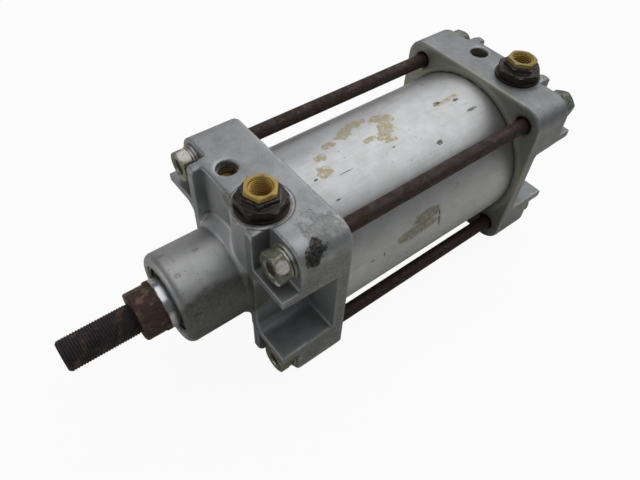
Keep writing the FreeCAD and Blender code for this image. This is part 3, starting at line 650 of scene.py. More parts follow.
@dataclass(frozen=True)
class CastAluminium(Finish):
    """Die-cast cover: blue-grey satin with fine grain, faint clouds, pits, worn edges and marks.

    The port's seat is a dark groove about the port with a painted highlight ring inside it, on the top only.
    On the cover with the boss, the turned boss has its own satin, and painted light lightens the hub round
    its foot and the bulge below the port.
    """

    base: Colour = grey(176, -2)
    dark: Colour = grey(158, -1)
    # worn: colour of worn edges, and also of the painted highlight on the seat and the painted light on the
    # hub and bulge.
    worn: Colour = grey(214)
    # Dark tone of stains, pits and the seat's groove, and of the painted shade in creases.
    grime_and_shade: Colour = shade(52, 48, 45)
    rust: Colour = shade(112, 92, 76)
    smear: Colour = shade(72, 67, 50)
    # dull: tone of the patches of painted light and shade.
    dull: Colour = shade(104, 103, 96)
    turned: Colour = grey(184, 0)
    boss: float = 0.0
    boss_foot: float = -0.1 * MM
    port: tuple[float, float] = (0.0, 0.0)
    seat: float = 17.0 * MM
    seat_level: float = 56.2 * MM
    seat_mark: float = 1.0
    hub: float = 33.0 * MM
    hub_start: float = -7.4 * MM
    hub_half: float = 25.0 * MM
    bulge: float = 17.2 * MM
    bulge_start: float = -8.1 * MM
    rusty: tuple[Spot, ...] = ()
    stains: tuple[Spot, ...] = ()
    smears: tuple[Spot, ...] = ()
    light_and_shade_spots: tuple[Spot, ...] = ()

    def turned_boss(self, n: Nodes, effects: Effects, place: Socket, cloud: Socket, colour: Socket,
                    rough: Socket) -> tuple[Socket, Socket]:
        """Colour and roughness with the boss's turned satin put in, within its radius and past its foot."""
        away = n.away(place, CENTRE, OFF_X)
        mask = n.product(n.within(away, self.boss + 0.5 * MM, 0.2 * MM),
                         n.past(n.part(place, 0), self.boss_foot, 0.7 * MM))
        rings = effects.grained(n, place, 0.45 * MM, (1.0, 0.03, 0.03))["Grain"]
        satin = n.blend(n.window(rings, 0.35, 0.7, 0.0, 0.25), self.turned, self.dark)
        satin = n.blend(n.window(cloud, 0.42, 0.70, 0.0, 0.75), satin, self.dark)
        return n.blend(mask, colour, satin), n.between(mask, rough, n.window(cloud, 0.4, 0.65, 0.50, 0.57))

    def port_seat(self, n: Nodes, place: Socket, colour: Socket) -> tuple[Socket, Socket]:
        """Colour with the seat's dark groove and painted highlight ring drawn in, and the mask of its groove.
        """
        away = n.away(place, (*self.port, 0.0), OFF_Z)
        upper = n.product(n.past(n.part(place, 2), self.seat_level, 0.4 * MM), self.seat_mark)
        step = n.past(away, self.seat, 0.35 * MM)
        line = n.product(n.math("MULTIPLY", n.rim(step), 3.2, clamp=True), upper)
        # glint: a painted highlight ring just inside the seat, in the wear colour.
        glint = n.product(n.past(away, self.seat - 1.3 * MM, 0.2 * MM),
                          n.within(away, self.seat - 0.6 * MM, 0.2 * MM), upper, 0.7)
        return n.blend(glint, n.blend(line, colour, self.grime_and_shade), self.worn), line

    def painted_light_places(self, n: Nodes, place: Socket) -> Socket:
        """Mask of painted light on the hub round the boss's foot and on the bulge that carries the port."""
        along, aside, level = (n.part(place, axis) for axis in range(3))
        hub = n.product(n.within(n.away(place, CENTRE, OFF_X), self.hub, 0.4 * MM),
                        n.past(along, self.hub_start, 0.4 * MM), n.within(along, self.boss_foot, 0.5 * MM),
                        n.within(n.math("ABSOLUTE", aside), self.hub_half, 0.2 * MM))
        bulge = n.product(n.within(n.away(place, (*self.port, 0.0), OFF_Z), self.bulge, 0.2 * MM),
                          n.past(along, self.bulge_start, 0.5 * MM),
                          n.within(level, self.seat_level, 0.4 * MM))
        return n.math("MAXIMUM", hub, bulge)

    def marks(self, n: Nodes, effects: Effects, place: Socket, broken: Socket, colour: Socket,
              rough: Socket) -> tuple[Socket, Socket]:
        """Colour and roughness under patches of painted light and shade, rust, smears and stains, each broken
        up by noise.

        Args:
            n: The material's nodes.
            effects: The shared shader groups.
            place: Object coordinates.
            broken: Fine noise that lets the metal show through; each kind of mark is solid to its own share.
            colour: Colour so far.
            rough: Roughness so far.

        Returns:
            The new colour and roughness.
        """
        # The first patches are painted light and shade.
        for spots, tone, weight, solid in (
                (self.light_and_shade_spots, self.dull, 0.85, 0.78), (self.rusty, self.rust, 0.6, 0.0),
                (self.smears, self.smear, 0.42, 0.3), (self.stains, self.grime_and_shade, 0.97, 0.7)):
            if not spots:
                continue
            mask = n.product(marked(n, effects, place, spots), n.between(broken, solid, 1.0), weight)
            colour = n.blend(mask, colour, tone)
            rough = n.math("ADD", rough, n.product(mask, 0.1))
        return colour, rough

    def dress(self, n: Nodes, shader: bpy.types.Node, effects: Effects, place: Socket) -> None:
        """Clouds between two greys, worn edges, creases darkened by grime and painted shade, the seat with
        its painted highlight ring, painted light on the hub and the bulge, then marks.
        """
        grain = effects.grained(n, place, 0.55 * MM)
        large = n.noise(place, 55.0, 4.0, 0.6)
        cloud = n.math("ADD", n.product(grain["Cloud"], 0.45), n.product(large, 0.55))
        colour = n.blend(n.window(cloud, 0.30, 0.70), self.base, self.dark)
        colour = n.blend(n.window(grain["Grain"], 0.5, 0.75, 0.0, 0.26), colour, self.grime_and_shade)
        rough = n.window(cloud, 0.35, 0.65, self.roughness - 0.03, self.roughness + 0.05)
        if self.boss:
            colour, rough = self.turned_boss(n, effects, place, cloud, colour, rough)
        broken = n.window(n.noise(place, 700.0, 5.0, 0.7), 0.34, 0.58)
        wear, crease = (n.add("ShaderNodeAttribute", attribute_name=name).outputs["Fac"] for name in WEAR)
        colour = n.blend(n.product(wear, broken, 0.6), colour, self.worn)
        # Painted shade and grime darken the creases.
        colour = n.blend(n.product(crease, 0.45), colour, self.grime_and_shade)
        colour = n.blend(n.product(grain["Specks"], 0.5), colour, self.grime_and_shade)
        colour, line = self.port_seat(n, place, colour)
        if self.boss:
            # Painted light on the hub and the bulge, in the wear colour.
            colour = n.blend(n.product(self.painted_light_places(n, place), 0.8), colour, self.worn)
        colour, rough = self.marks(n, effects, place, broken, colour, rough)
        n.feed(shader.inputs["Base Color"], colour)
        n.feed(shader.inputs["Roughness"], rough)
        height = n.math("ADD", grain["Grain"], n.product(grain["Specks"], -0.8))
        height = n.math("SUBTRACT", height, n.product(line, 4.0))
        n.feed(shader.inputs["Normal"], n.bump(height, 0.4, 0.05 * MM))


@dataclass(frozen=True)
class DrawnTube(Finish):
    """Anodised drawn barrel: pale satin with lengthwise draw lines, residue, films and scuffs."""

    base: Colour = grey(204, -1)
    dark: Colour = grey(190, 0)
    residue: Colour = shade(188, 176, 120)
    rim: Colour = shade(150, 132, 84)
    olive: Colour = shade(140, 136, 112)
    scuff: Colour = grey(100, 2)
    residues: tuple[Spot, ...] = ()
    films: tuple[Spot, ...] = ()
    scuffs: tuple[Spot, ...] = ()

    def dress(self, n: Nodes, shader: bpy.types.Node, effects: Effects, place: Socket) -> None:
        """Clouds and draw lines, then islands of residue and film with a darker rim, and scuffs."""
        grain = effects.grained(n, place, 0.8 * MM)
        lines = effects.grained(n, place, 0.5 * MM, (0.012, 1.0, 1.0))["Grain"]
        colour = n.blend(n.window(grain["Cloud"], 0.25, 0.75), self.base, self.dark)
        colour = n.blend(n.window(lines, 0.55, 0.8, 0.0, 0.25), colour, self.scuff)
        colour = n.blend(n.product(grain["Specks"], 0.4), colour, self.scuff)
        rough = n.window(lines, 0.3, 0.7, self.roughness - 0.03, self.roughness + 0.05)
        islands = n.noise(place, 460.0, 6.0, 0.70, 0.6)
        for spots, tone, rim, weight, low, high in (
                (self.residues, self.residue, self.rim, 0.78, 0.34, 0.58),
                (self.films, self.olive, self.rim, 0.70, 0.26, 0.56),
                (self.scuffs, self.scuff, self.scuff, 0.85, 0.36, 0.48)):
            if not spots:
                continue
            mask = n.product(marked(n, effects, place, spots), n.window(islands, low, high))
            hollow = n.math("MULTIPLY", n.rim(mask), 3.2, clamp=True)
            colour = n.blend(n.product(mask, weight), colour, n.blend(hollow, tone, rim))
            rough = n.math("ADD", rough, n.product(mask, 0.16))
        n.feed(shader.inputs["Base Color"], colour)
        n.feed(shader.inputs["Roughness"], rough)
        height = n.math("ADD", n.product(lines, 0.6), n.product(grain["Grain"], 0.3))
        n.feed(shader.inputs["Normal"], n.bump(height, 0.2, 0.02 * MM))


@dataclass(frozen=True)
class RustedSteel(Finish):
    """Bare steel browned all over, with paler flecks, streaks along the rod and orange rust."""

    base: Colour = shade(66, 54, 52)
    fleck: Colour = shade(128, 104, 98)
    bright: Colour = grey(120)
    spread: float = 0.50
    wear: float = 0.4
    stretch: tuple[float, float, float] = (0.25, 1.0, 1.0)

    def dress(self, n: Nodes, shader: bpy.types.Node, effects: Effects, place: Socket) -> None:
        """Brown base with streaks and flecks, rust in patches and rubbed edges."""
        streak = effects.grained(n, place, 0.8 * MM, self.stretch)["Grain"]
        rust = effects.rusted(n, place, 1.0 * MM, self.spread)
        edges = effects.worn_edges(n, place, 0.6 * MM, 1.5 * MM)
        colour = n.blend(n.window(streak, 0.58, 0.78), self.base, self.fleck)
        colour = n.blend(rust["Mask"], colour, rust["Color"])
        colour = n.blend(n.product(edges, self.wear), colour, self.bright)
        n.feed(shader.inputs["Base Color"], colour)
        n.feed(shader.inputs["Roughness"], n.between(rust["Mask"], self.roughness, 0.85))
        n.feed(shader.inputs["Metallic"], n.between(rust["Mask"], self.metallic, 0.05))
        height = n.math("ADD", n.product(rust["Height"], 0.8), n.product(streak, 0.6))
        n.feed(shader.inputs["Normal"], n.bump(height, 0.55, 0.12 * MM))


@dataclass(frozen=True)
class ZincPlate(Finish):
    """Yellow-green chromated zinc, blotched and scratched, with whitish bloom on edges and painted highlights
    in spots.
    """

    base: Colour = shade(180, 182, 168)
    blotch: Colour = shade(138, 138, 112)
    bloom_and_highlight: Colour = grey(206, 2)
    # rubbed: spots of painted highlight.
    rubbed: tuple[Spot, ...] = ()

    def dress(self, n: Nodes, shader: bpy.types.Node, effects: Effects, place: Socket) -> None:
        """Blotches of two greens, scratches of bloom and blotch, bloom along the edges, and painted
        highlights in spots.
        """
        grain = effects.grained(n, place, 0.45 * MM)
        edges = effects.worn_edges(n, place, 0.5 * MM, 1.2 * MM)
        colour = n.blend(n.window(grain["Cloud"], 0.35, 0.65), self.base, self.blotch)
        scratch = n.noise(n.vector("MULTIPLY", place, (0.35, 1.0, 2.4)), 900.0, 4.0, 0.75, 1.2)
        colour = n.blend(n.window(scratch, 0.52, 0.66, 0.0, 0.75), colour, self.bloom_and_highlight)
        colour = n.blend(n.window(scratch, 0.44, 0.34, 0.0, 0.5), colour, self.blotch)
        colour = n.blend(n.product(edges, 0.6), colour, self.bloom_and_highlight)
        # Painted highlights in the rubbed spots.
        if self.rubbed:
            mask = n.product(marked(n, effects, place, self.rubbed), n.window(scratch, 0.34, 0.56, 0.35, 1.0))
            colour = n.blend(mask, colour, self.bloom_and_highlight)
            n.feed(shader.inputs["Metallic"], n.between(mask, self.metallic, 0.2))
        n.feed(shader.inputs["Base Color"], colour)
        rough = n.window(grain["Cloud"], 0.3, 0.7, self.roughness, self.roughness + 0.15)
        n.feed(shader.inputs["Roughness"], rough)
        n.feed(shader.inputs["Normal"], n.bump(n.math("ADD", grain["Grain"], scratch), 0.4, 0.05 * MM))


@dataclass(frozen=True)
class RodSteel(Finish):
    """Chromed rod that gives way to a rusted collar and a dark threaded end along X."""

    chrome: Colour = grey(212, -2)
    collar: Colour = shade(130, 106, 96)
    tan: Colour = shade(168, 146, 124)
    dark: Colour = shade(54, 46, 48)
    rubbed: Colour = grey(118, 4)
    chrome_end: float = 40.6 * MM
    thread_start: float = 54.4 * MM

    def dress(self, n: Nodes, shader: bpy.types.Node, effects: Effects, place: Socket) -> None:
        """Masks along the rod's axis pick chrome, rusted collar or thread; the chrome ends on a wavy line."""
        along = n.part(place, 0)
        rust = effects.rusted(n, place, 0.9 * MM, 0.56)
        fine = effects.grained(n, place, 0.6 * MM)
        wobble = n.math("ADD", along, n.product(n.math("SUBTRACT", fine["Cloud"], 0.5), 3.0 * MM))
        bare = n.window(wobble, self.chrome_end - 0.5 * MM, self.chrome_end + 0.6 * MM)
        thread = n.window(along, self.thread_start, self.thread_start + 1.0 * MM)
        edges = effects.worn_edges(n, place, 0.35 * MM, 1.0 * MM)
        worn = n.blend(n.window(fine["Grain"], 0.58, 0.76), self.collar, self.tan)
        worn = n.blend(n.product(rust["Mask"], 0.8), worn, rust["Color"])
        screw = n.blend(n.window(fine["Cloud"], 0.50, 0.72, 0.0, 0.45), self.dark, self.collar)
        old = n.blend(n.product(edges, 0.35), n.blend(thread, worn, screw), self.rubbed)
        n.feed(shader.inputs["Base Color"], n.blend(bare, self.chrome, old))
        rough = n.between(rust["Mask"], 0.5, 0.8)
        n.feed(shader.inputs["Roughness"], n.between(bare, self.roughness, rough))
        n.feed(shader.inputs["Metallic"], n.between(bare, self.metallic, n.between(rust["Mask"], 0.8, 0.2)))
        height = n.product(n.math("ADD", rust["Height"], fine["Grain"]), bare)
        n.feed(shader.inputs["Normal"], n.bump(height, 0.5, 0.10 * MM))


@dataclass(frozen=True)
class Brass(Finish):
    """Brass fitting with brown tarnish, rubbed edges and a bore whose thread has a painted highlight on its
    crests and painted shade in its grooves.
    """

    port: tuple[float, float] = (0.0, 0.0)
    base: Colour = shade(194, 162, 90)
    tarnish: Colour = shade(146, 112, 58)
    bright: Colour = shade(226, 204, 148)
    # crest and groove: painted highlight and painted shade on the bore's thread.
    crest: Colour = shade(246, 206, 112)
    groove: Colour = shade(122, 86, 40)
    mouth: float = 69.45 * MM
    bore_out: float = 7.4 * MM
    crest_out: float = 6.125 * MM
    groove_in: float = 6.3 * MM

    def dress(self, n: Nodes, shader: bpy.types.Node, effects: Effects, place: Socket) -> None:
        """Tarnish in clouds and specks, bright edges, then a painted highlight on the crests and painted
        shade in the grooves below the mouth of the bore.
        """
        grain = effects.grained(n, place, 0.4 * MM)
        edges = effects.worn_edges(n, place, 0.4 * MM, 1.5 * MM)
        colour = n.blend(n.window(grain["Cloud"], 0.50, 0.78), self.base, self.tarnish)
        colour = n.blend(n.product(grain["Specks"], 0.6), colour, self.tarnish)
        colour = n.blend(n.product(edges, 0.35), colour, self.bright)
        away = n.away(place, (*self.port, 0.0), OFF_Z)
        inside = n.product(n.within(n.part(place, 2), self.mouth, 0.15 * MM),
                           n.within(away, self.bore_out, 0.2 * MM))
        # Painted highlight on the thread's crests and painted shade in its grooves.
        colour = n.blend(n.product(inside, n.within(away, self.crest_out, 0.125 * MM)), colour, self.crest)
        colour = n.blend(n.product(inside, n.past(away, self.groove_in, 0.15 * MM)), colour, self.groove)
        n.feed(shader.inputs["Base Color"], colour)
        rough = n.window(grain["Cloud"], 0.3, 0.75, self.roughness, self.roughness + 0.2)
        n.feed(shader.inputs["Roughness"], rough)
        n.feed(shader.inputs["Normal"], n.bump(grain["Grain"], 0.2, 0.03 * MM))


@dataclass(frozen=True)
class Plain(Finish):
    """Quiet finish for pieces inside: two tones in clouds and a fine grain."""

    base: Colour = grey(150)
    second: Colour = grey(120)
    size: float = 0.6 * MM
    stretch: tuple[float, float, float] = (1.0, 1.0, 1.0)
    relief: float = 0.2

    def dress(self, n: Nodes, shader: bpy.types.Node, effects: Effects, place: Socket) -> None:
        """Clouds of two tones with grain in roughness and height."""
        grain = effects.grained(n, place, self.size, self.stretch)
        colour = n.blend(n.window(grain["Cloud"], 0.3, 0.7), self.base, self.second)
        n.feed(shader.inputs["Base Color"], colour)
        rough = n.window(grain["Grain"], 0.3, 0.7, self.roughness, self.roughness + 0.1)
        n.feed(shader.inputs["Roughness"], rough)
        n.feed(shader.inputs["Normal"], n.bump(grain["Grain"], self.relief, 0.04 * MM))


def dressed(piece: bpy.types.Object, material: bpy.types.Material, body: str,
            nodes: tuple[str, ...] = ()) -> bpy.types.Object:
    """Give a piece its material and slot, seat it on its body and let it stand for CAD nodes.

    Args:
        piece: The new object.
        material: Its material.
        body: The body that it rides on.
        nodes: CAD nodes that it replaces.

    Returns:
        The same object.
    """
    piece.data.materials.clear()
    piece.data.materials.append(material)
    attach(piece, body)
    if nodes:
        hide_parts(*nodes)
    LOG.info("%s: %d faces", piece.name, len(piece.data.polygons))
    return piece


# Sub-assemblies

@dataclass
class Places:
    """Sizes that several sub-assemblies share."""

    pitch: float = 89.0 * MM
    half_side: float = 57.5 * MM
    rear_face: float = -194.6 * MM
    front_seat: float = -13.6 * MM
    rear_seat: float = -223.5 * MM
    front_port: tuple[float, float] = (-18.5 * MM, 16.3 * MM)
    rear_port: tuple[float, float] = (-217.6 * MM, 16.8 * MM)

    def corners(self) -> list[tuple[float, float]]:
        """Centres of the four tie rods in Y and Z, in the order of their names."""
        half = self.pitch / 2
        return [(half, half), (-half, half), (-half, -half), (half, -half)]


@dataclass
class CastCover:
    """A die-cast cover: the frame's own solid under an even skin whose edges and corners are relaxed."""

    node: str
    boss: float = 0.0
    boss_span: tuple[float, float] = (-0.2 * MM, 32.6 * MM)
    cell: float = 1.0 * MM
    boss_band: float = 0.6 * MM
    passes: int = 2
    full_move: float = 0.15 * MM

    def skin(self) -> bpy.types.Mesh:
        """Skin of quads over the solid, about one cell apart."""
        holder = bpy.data.objects.new("skin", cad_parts[self.node].data.copy())
        bpy.context.scene.collection.objects.link(holder)
        modifier = holder.modifiers.new("skin", "REMESH")
        modifier.mode = "VOXEL"
        modifier.voxel_size = self.cell
        solved = holder.evaluated_get(bpy.context.evaluated_depsgraph_get())
        mesh = bpy.data.meshes.new_from_object(solved)
        bpy.data.objects.remove(holder)
        mesh.name = f"{self.node}_casting"
        return mesh

    def relaxed(self, points: np.ndarray, edges: np.ndarray) -> np.ndarray:
        """Points after every pass; a pass moves each point half way to the mean of its neighbours.

        Args:
            points: Places of the skin's points.
            edges: Pairs of point numbers.

        Returns:
            The new places.
        """
        ends = np.concatenate([edges, edges[:, ::-1]])
        count = np.bincount(ends[:, 0], minlength=len(points))[:, None]
        for _ in range(self.passes):
            total = [np.bincount(ends[:, 0], points[ends[:, 1], axis], len(points)) for axis in range(3)]
            points = (points + np.stack(total, axis=1) / count) / 2
        return points

    def trued(self, points: np.ndarray) -> np.ndarray:
        """Points near the turned boss, put on its exact radius."""
        radius = np.hypot(points[:, 1], points[:, 2])
        low, high = self.boss_span
        near = (points[:, 0] > low) & (points[:, 0] < high) & (np.abs(radius - self.boss) < self.boss_band)
        scale = np.where(near, self.boss / np.maximum(radius, 1e-6), 1.0)[:, None]
        return points * np.concatenate([np.ones_like(scale), scale, scale], axis=1)

    def build(self, material: bpy.types.Material) -> bpy.types.Object:
        """The finished casting, with how far each point moved in and out as wear and crease."""
        mesh = self.skin()
        rough = np.zeros(len(mesh.vertices) * 3, np.float32)
        mesh.vertices.foreach_get("co", rough)
        edges = np.zeros(len(mesh.edges) * 2, np.int32)
        mesh.edges.foreach_get("vertices", edges)
        rough = rough.reshape(-1, 3).astype(float)
        smooth = self.relaxed(rough, edges.reshape(-1, 2))
        placed_points = self.trued(smooth) if self.boss else smooth
        mesh.vertices.foreach_set("co", placed_points.astype(np.float32).ravel())
        mesh.polygons.foreach_set("use_smooth", np.ones(len(mesh.polygons), bool))
        mesh.update()
        normals = np.zeros(len(mesh.vertices) * 3, np.float32)
        mesh.vertex_normals.foreach_get("vector", normals)
        moved = ((rough - smooth) * normals.reshape(-1, 3)).sum(axis=1) / self.full_move
        for name, values in zip(WEAR, (moved, -moved)):
            attribute = mesh.attributes.new(name, "FLOAT", "POINT")
            attribute.data.foreach_set("value", np.clip(values, 0.0, 1.0))
        piece = bpy.data.objects.new(mesh.name, mesh)
        bpy.context.scene.collection.objects.link(piece)
        return dressed(piece, material, ROOT, (self.node,))


@dataclass
class Barrel:
    """The smooth tube between the covers."""

    outer: float = BARREL_OUT
    inner: float = 50.0 * MM
    start: float = -197.6 * MM
    stop: float = -43.0 * MM
    ease: float = 0.4 * MM

    def build(self, material: bpy.types.Material) -> bpy.types.Object:
        """Thin ring turned from a rectangle with eased corners."""
        profile = eased([(self.start, self.inner), (self.stop, self.inner), (self.stop, self.outer),
                         (self.start, self.outer)], self.ease)
        grid = Grid().add(turned(profile, columns=256), wrap_rows=True)
        return dressed(grid.build("barrel"), material, ROOT, ("barrel_tube",))


@dataclass
class TieRods:
    """Four tie rods with rolled threads at both ends."""

    places: Places
    shank: float = 4.5 * MM
    crest: float = 4.9 * MM
    depth: float = 0.72 * MM
    pitch: float = 1.25 * MM
    thread: float = 16.0 * MM
    tip_cut: float = 1.0 * MM
    start: float = -237.2 * MM
    stop: float = -4.6 * MM
    columns: int = 48

    def radius(self, along: np.ndarray, angle: np.ndarray) -> np.ndarray:
        """Shank between the threads; at each end the thread, cut off by a 45 degree cone at the tip."""
        end = np.minimum(along - self.start, self.stop - along)
        cut = self.crest - self.tip_cut + end
        threaded = self.crest - self.depth * (1 - tooth(along, angle, self.pitch))
        return np.where(end < self.thread, np.minimum(threaded, cut), self.shank + 0 * angle)

    def build(self, material: bpy.types.Material) -> None:
        """Every tie rod as its own piece."""
        rows = int(self.thread / self.pitch * 8)
        ends = np.linspace(0, self.thread - 0.01 * MM, rows)
        along = np.concatenate([self.start + ends, [self.start + self.thread, self.stop - self.thread],
                                (self.stop - ends)[::-1]])[:, None]
        angle = full_turn(self.columns)
        for number, centre in enumerate(self.places.corners(), 1):
            points = placed(along, self.radius(along, angle), angle, Axis.ALONG, centre)
            piece = Grid().add(points, capped=True).build(f"tie_bar_{number}")
            dressed(piece, material, ROOT, (f"tie_rod_{number}",))


@dataclass
class TieEnd:
    """Washers and nuts on the four tie rods at one end of the cylinder."""

    label: str
    places: Places
    seat: float
    sign: float
    flat_thick: float
    spring_thick: float
    nut_height: float
    nut_across: float = 17.0 * MM
    hole: float = 5.25 * MM
    flat_out: float = 10.0 * MM
    spring_out: float = 8.8 * MM
    spring_rise: float = 0.14
    flat_ease: float = 0.25 * MM
    spring_ease: float = 0.3 * MM
    gap: float = 1.2 * MM
    first_gap: float = 125.0
    next_gap: float = 80.0
    minor: float = 4.26 * MM
    depth: float = 0.70 * MM
    pitch: float = 1.25 * MM
    turns: tuple[float, ...] = (10.0, 24.0, 38.0, 52.0)

    def flats(self) -> Grid:
        """Flat washers: rectangles with eased corners turned about each rod."""
        grid = Grid()
        near, far = self.seat, self.seat + self.sign * self.flat_thick
        profile = eased([(near, self.hole), (far, self.hole), (far, self.flat_out), (near, self.flat_out)],
                        self.flat_ease)
        for centre in self.places.corners():
            grid.add(turned(profile, Axis.ALONG, centre, 72), wrap_rows=True)
        return grid

    def springs(self) -> Grid:
        """Split spring washers: the section carried round from one side of the gap to the other.

        The section slides along X with the angle, by its rise over the whole turn, which leaves one end
        of the split standing a little proud.
        """
        grid = Grid()
        rise = self.spring_rise * self.spring_thick
        near = self.seat + self.sign * self.flat_thick
        far = near + self.sign * (self.spring_thick - rise)
        section = eased([(near, self.hole), (far, self.hole), (far, self.spring_out),
                         (near, self.spring_out)], self.spring_ease)
        turn = np.linspace(0, 1, 73)[:, None]
        half_gap = self.gap / 2 / self.spring_out
        for number, centre in enumerate(self.places.corners()):
            start = (self.first_gap + self.next_gap * number) * DEG + half_gap
            angle = start + (2 * np.pi - 2 * half_gap) * turn
            grid.add(carried(section, angle, self.sign * rise * turn, centre), capped=True)
        return grid

    def nuts(self) -> Grid:
        """Hexagon nuts with a thread in the bore."""
        grid = Grid()
        foot = self.seat + self.sign * (self.flat_thick + self.spring_thick)
        for number, centre in enumerate(self.places.corners()):
            turn = self.turns[number] * DEG
            corner = turn - 30 * DEG if self.sign > 0 else 30 * DEG - turn
            head = Hexagon(self.nut_across, self.nut_height, self.minor, foot, self.sign, corner,
                           pitch=self.pitch, depth=self.depth, slope=0.5)
            grid.add(head.points(Axis.ALONG, centre), wrap_rows=True)
        return grid

    def build(self, plate: bpy.types.Material, washer: bpy.types.Material) -> None:
        """The three sets of pieces."""
        for grid, name, material, slot, node in (
                (self.flats(), "plain_washers", washer, "washer_metal", "flat_washers"),
                (self.springs(), "split_washers", washer, "washer_metal", "spring_washers"),
                (self.nuts(), "hex_nuts", plate, "zinc_hardware", "tie_nuts")):
            dressed(grid.build(f"{self.label}_{name}"), material, ROOT, (f"{self.label}_{node}",))


@dataclass
class PistonRod:
    """The rod: piston journal, chromed bar, collar with two wrench flats and threaded end."""

    radius: float = 15.0 * MM
    journal: float = 8.0 * MM
    rear: float = -214.3 * MM
    piston_front: float = -150.3 * MM
    flats_start: float = 43.0 * MM
    shoulder: float = 54.7 * MM
    tip: float = 94.7 * MM
    across: float = 27.0 * MM
    flat_angle: float = 135.0
    crest: float = 9.0 * MM
    depth: float = 0.42 * MM
    pitch: float = 1.5 * MM
    chamfer: float = 1.4 * MM
    undercut: float = 1.6 * MM
    fade: float = 0.5 * MM
    hard: float = 5.0 / MM
    columns: int = 144

    def bar(self, angle: np.ndarray) -> tuple[np.ndarray, np.ndarray]:
        """Stations from the journal to the shoulder: the turned radius or the wrench flats, the smaller.

        The flats lie at half their width over the cosine of the angle from their normal. They fade in
        over a short step, and a soft minimum eases the edge between flat and round.
        """
        step = self.fade
        stations = np.array([
            (self.rear, self.journal - 1.2 * MM), (self.rear + 1.2 * MM, self.journal),
            (self.piston_front, self.journal), (self.piston_front, self.radius),
            (self.flats_start - 3 * MM, self.radius), (self.flats_start, self.radius),
            (self.flats_start + step / 2, self.radius), (self.flats_start + step, self.radius),
            (self.flats_start + 2 * step, self.radius), (self.shoulder - 1.2 * MM, self.radius),
            (self.shoulder - 0.7 * MM, self.radius - 0.12 * MM),
            (self.shoulder - 0.2 * MM, self.radius - 0.6 * MM),
            (self.shoulder, self.radius - 1.0 * MM), (self.shoulder, self.crest + 0.2 * MM)])
        along, radius = stations[:, :1], stations[:, 1:]
        facing = np.maximum(np.abs(np.cos(angle - self.flat_angle * DEG)), 0.2)
        flats = self.across / 2 / facing
        limited = radius - np.log(np.exp(-self.hard * (flats - radius)) + 1.0) / self.hard
        limited = np.where(radius > self.journal + 1 * MM, np.minimum(limited, radius), radius)
        share = np.clip((along - self.flats_start) / step, 0.0, 1.0)
        share = share * share * (3 - 2 * share)
        return along + 0 * angle, radius + (limited - radius) * share

    def threaded(self, angle: np.ndarray) -> tuple[np.ndarray, np.ndarray]:
        """Stations of the thread, held down at the shoulder's undercut and by the cone at the tip."""
        rows = int((self.tip - self.shoulder) / self.pitch * 10)
        along = np.linspace(self.shoulder, self.tip, rows)[:, None] + 0 * angle
        cut = self.crest - self.chamfer + (self.tip - along)
        relief = self.crest - self.depth + np.maximum(along - self.shoulder - self.undercut, 0.0)
        radius = self.crest - self.depth * (1 - tooth(along, angle, self.pitch))
        return along, np.minimum(np.minimum(radius, cut), relief)

    def build(self, material: bpy.types.Material) -> bpy.types.Object:
        """The rod as one closed surface."""
        angle = full_turn(self.columns)
        parts = [self.bar(angle), self.threaded(angle)]
        along = np.concatenate([part[0] for part in parts])
        radius = np.concatenate([part[1] for part in parts])
        points = placed(along, radius, np.broadcast_to(angle, along.shape), Axis.ALONG, (0.0, 0.0))
        piece = Grid().add(points, capped=True).build("rod_bar")
        return dressed(piece, material, ROD_BODY, ("piston_rod",))


@dataclass
class GlandMouth:
    """Wiper and retaining ring in the mouth of the boss."""

    rod: float = 15.05 * MM
    room: float = 21.0 * MM
    start: float = 27.0 * MM
    ring_start: float = 33.6 * MM
    ring_stop: float = 35.0 * MM
    ring_inner: float = 19.5 * MM
    ring_outer: float = 22.2 * MM
    ring_gap: float = 3.5 * MM
    ring_ease: float = 0.2 * MM
    wiper_ease: float = 0.3 * MM

    def wiper(self) -> np.ndarray:
        """Section of the wiper: a body with a lip that leans out on the rod."""
        lip = self.ring_stop
        return eased([(self.start, self.room), (self.start, self.rod + 1.0 * MM),
                      (lip - 3.8 * MM, self.rod + 1.4 * MM), (lip - 1.8 * MM, self.rod + 1.0 * MM),
                      (lip - 0.4 * MM, self.rod), (lip, self.rod + 0.5 * MM),
                      (self.ring_start, self.rod + 2.2 * MM), (self.ring_start, self.room)], self.wiper_ease)

    def ring(self) -> Grid:
        """Open ring: a rectangle with eased corners carried round, with its gap at the bottom."""
        section = eased([(self.ring_start, self.ring_inner), (self.ring_stop, self.ring_inner),
                         (self.ring_stop, self.ring_outer), (self.ring_start, self.ring_outer)],
                        self.ring_ease)
        half = self.ring_gap / self.ring_inner
        angle = np.linspace(-90 * DEG + half, 270 * DEG - half, 97)[:, None]
        return Grid().add(carried(section, angle, 0.0), capped=True)

    def build(self, rubber: bpy.types.Material, steel: bpy.types.Material) -> None:
        """Both pieces."""
        wiper = Grid().add(turned(self.wiper()), wrap_rows=True)
        dressed(wiper.build("wiper_lip"), rubber, ROOT, ("wiper_seal",))
        dressed(self.ring().build("gland_ring"), steel, ROOT, ("gland_retaining_ring",))


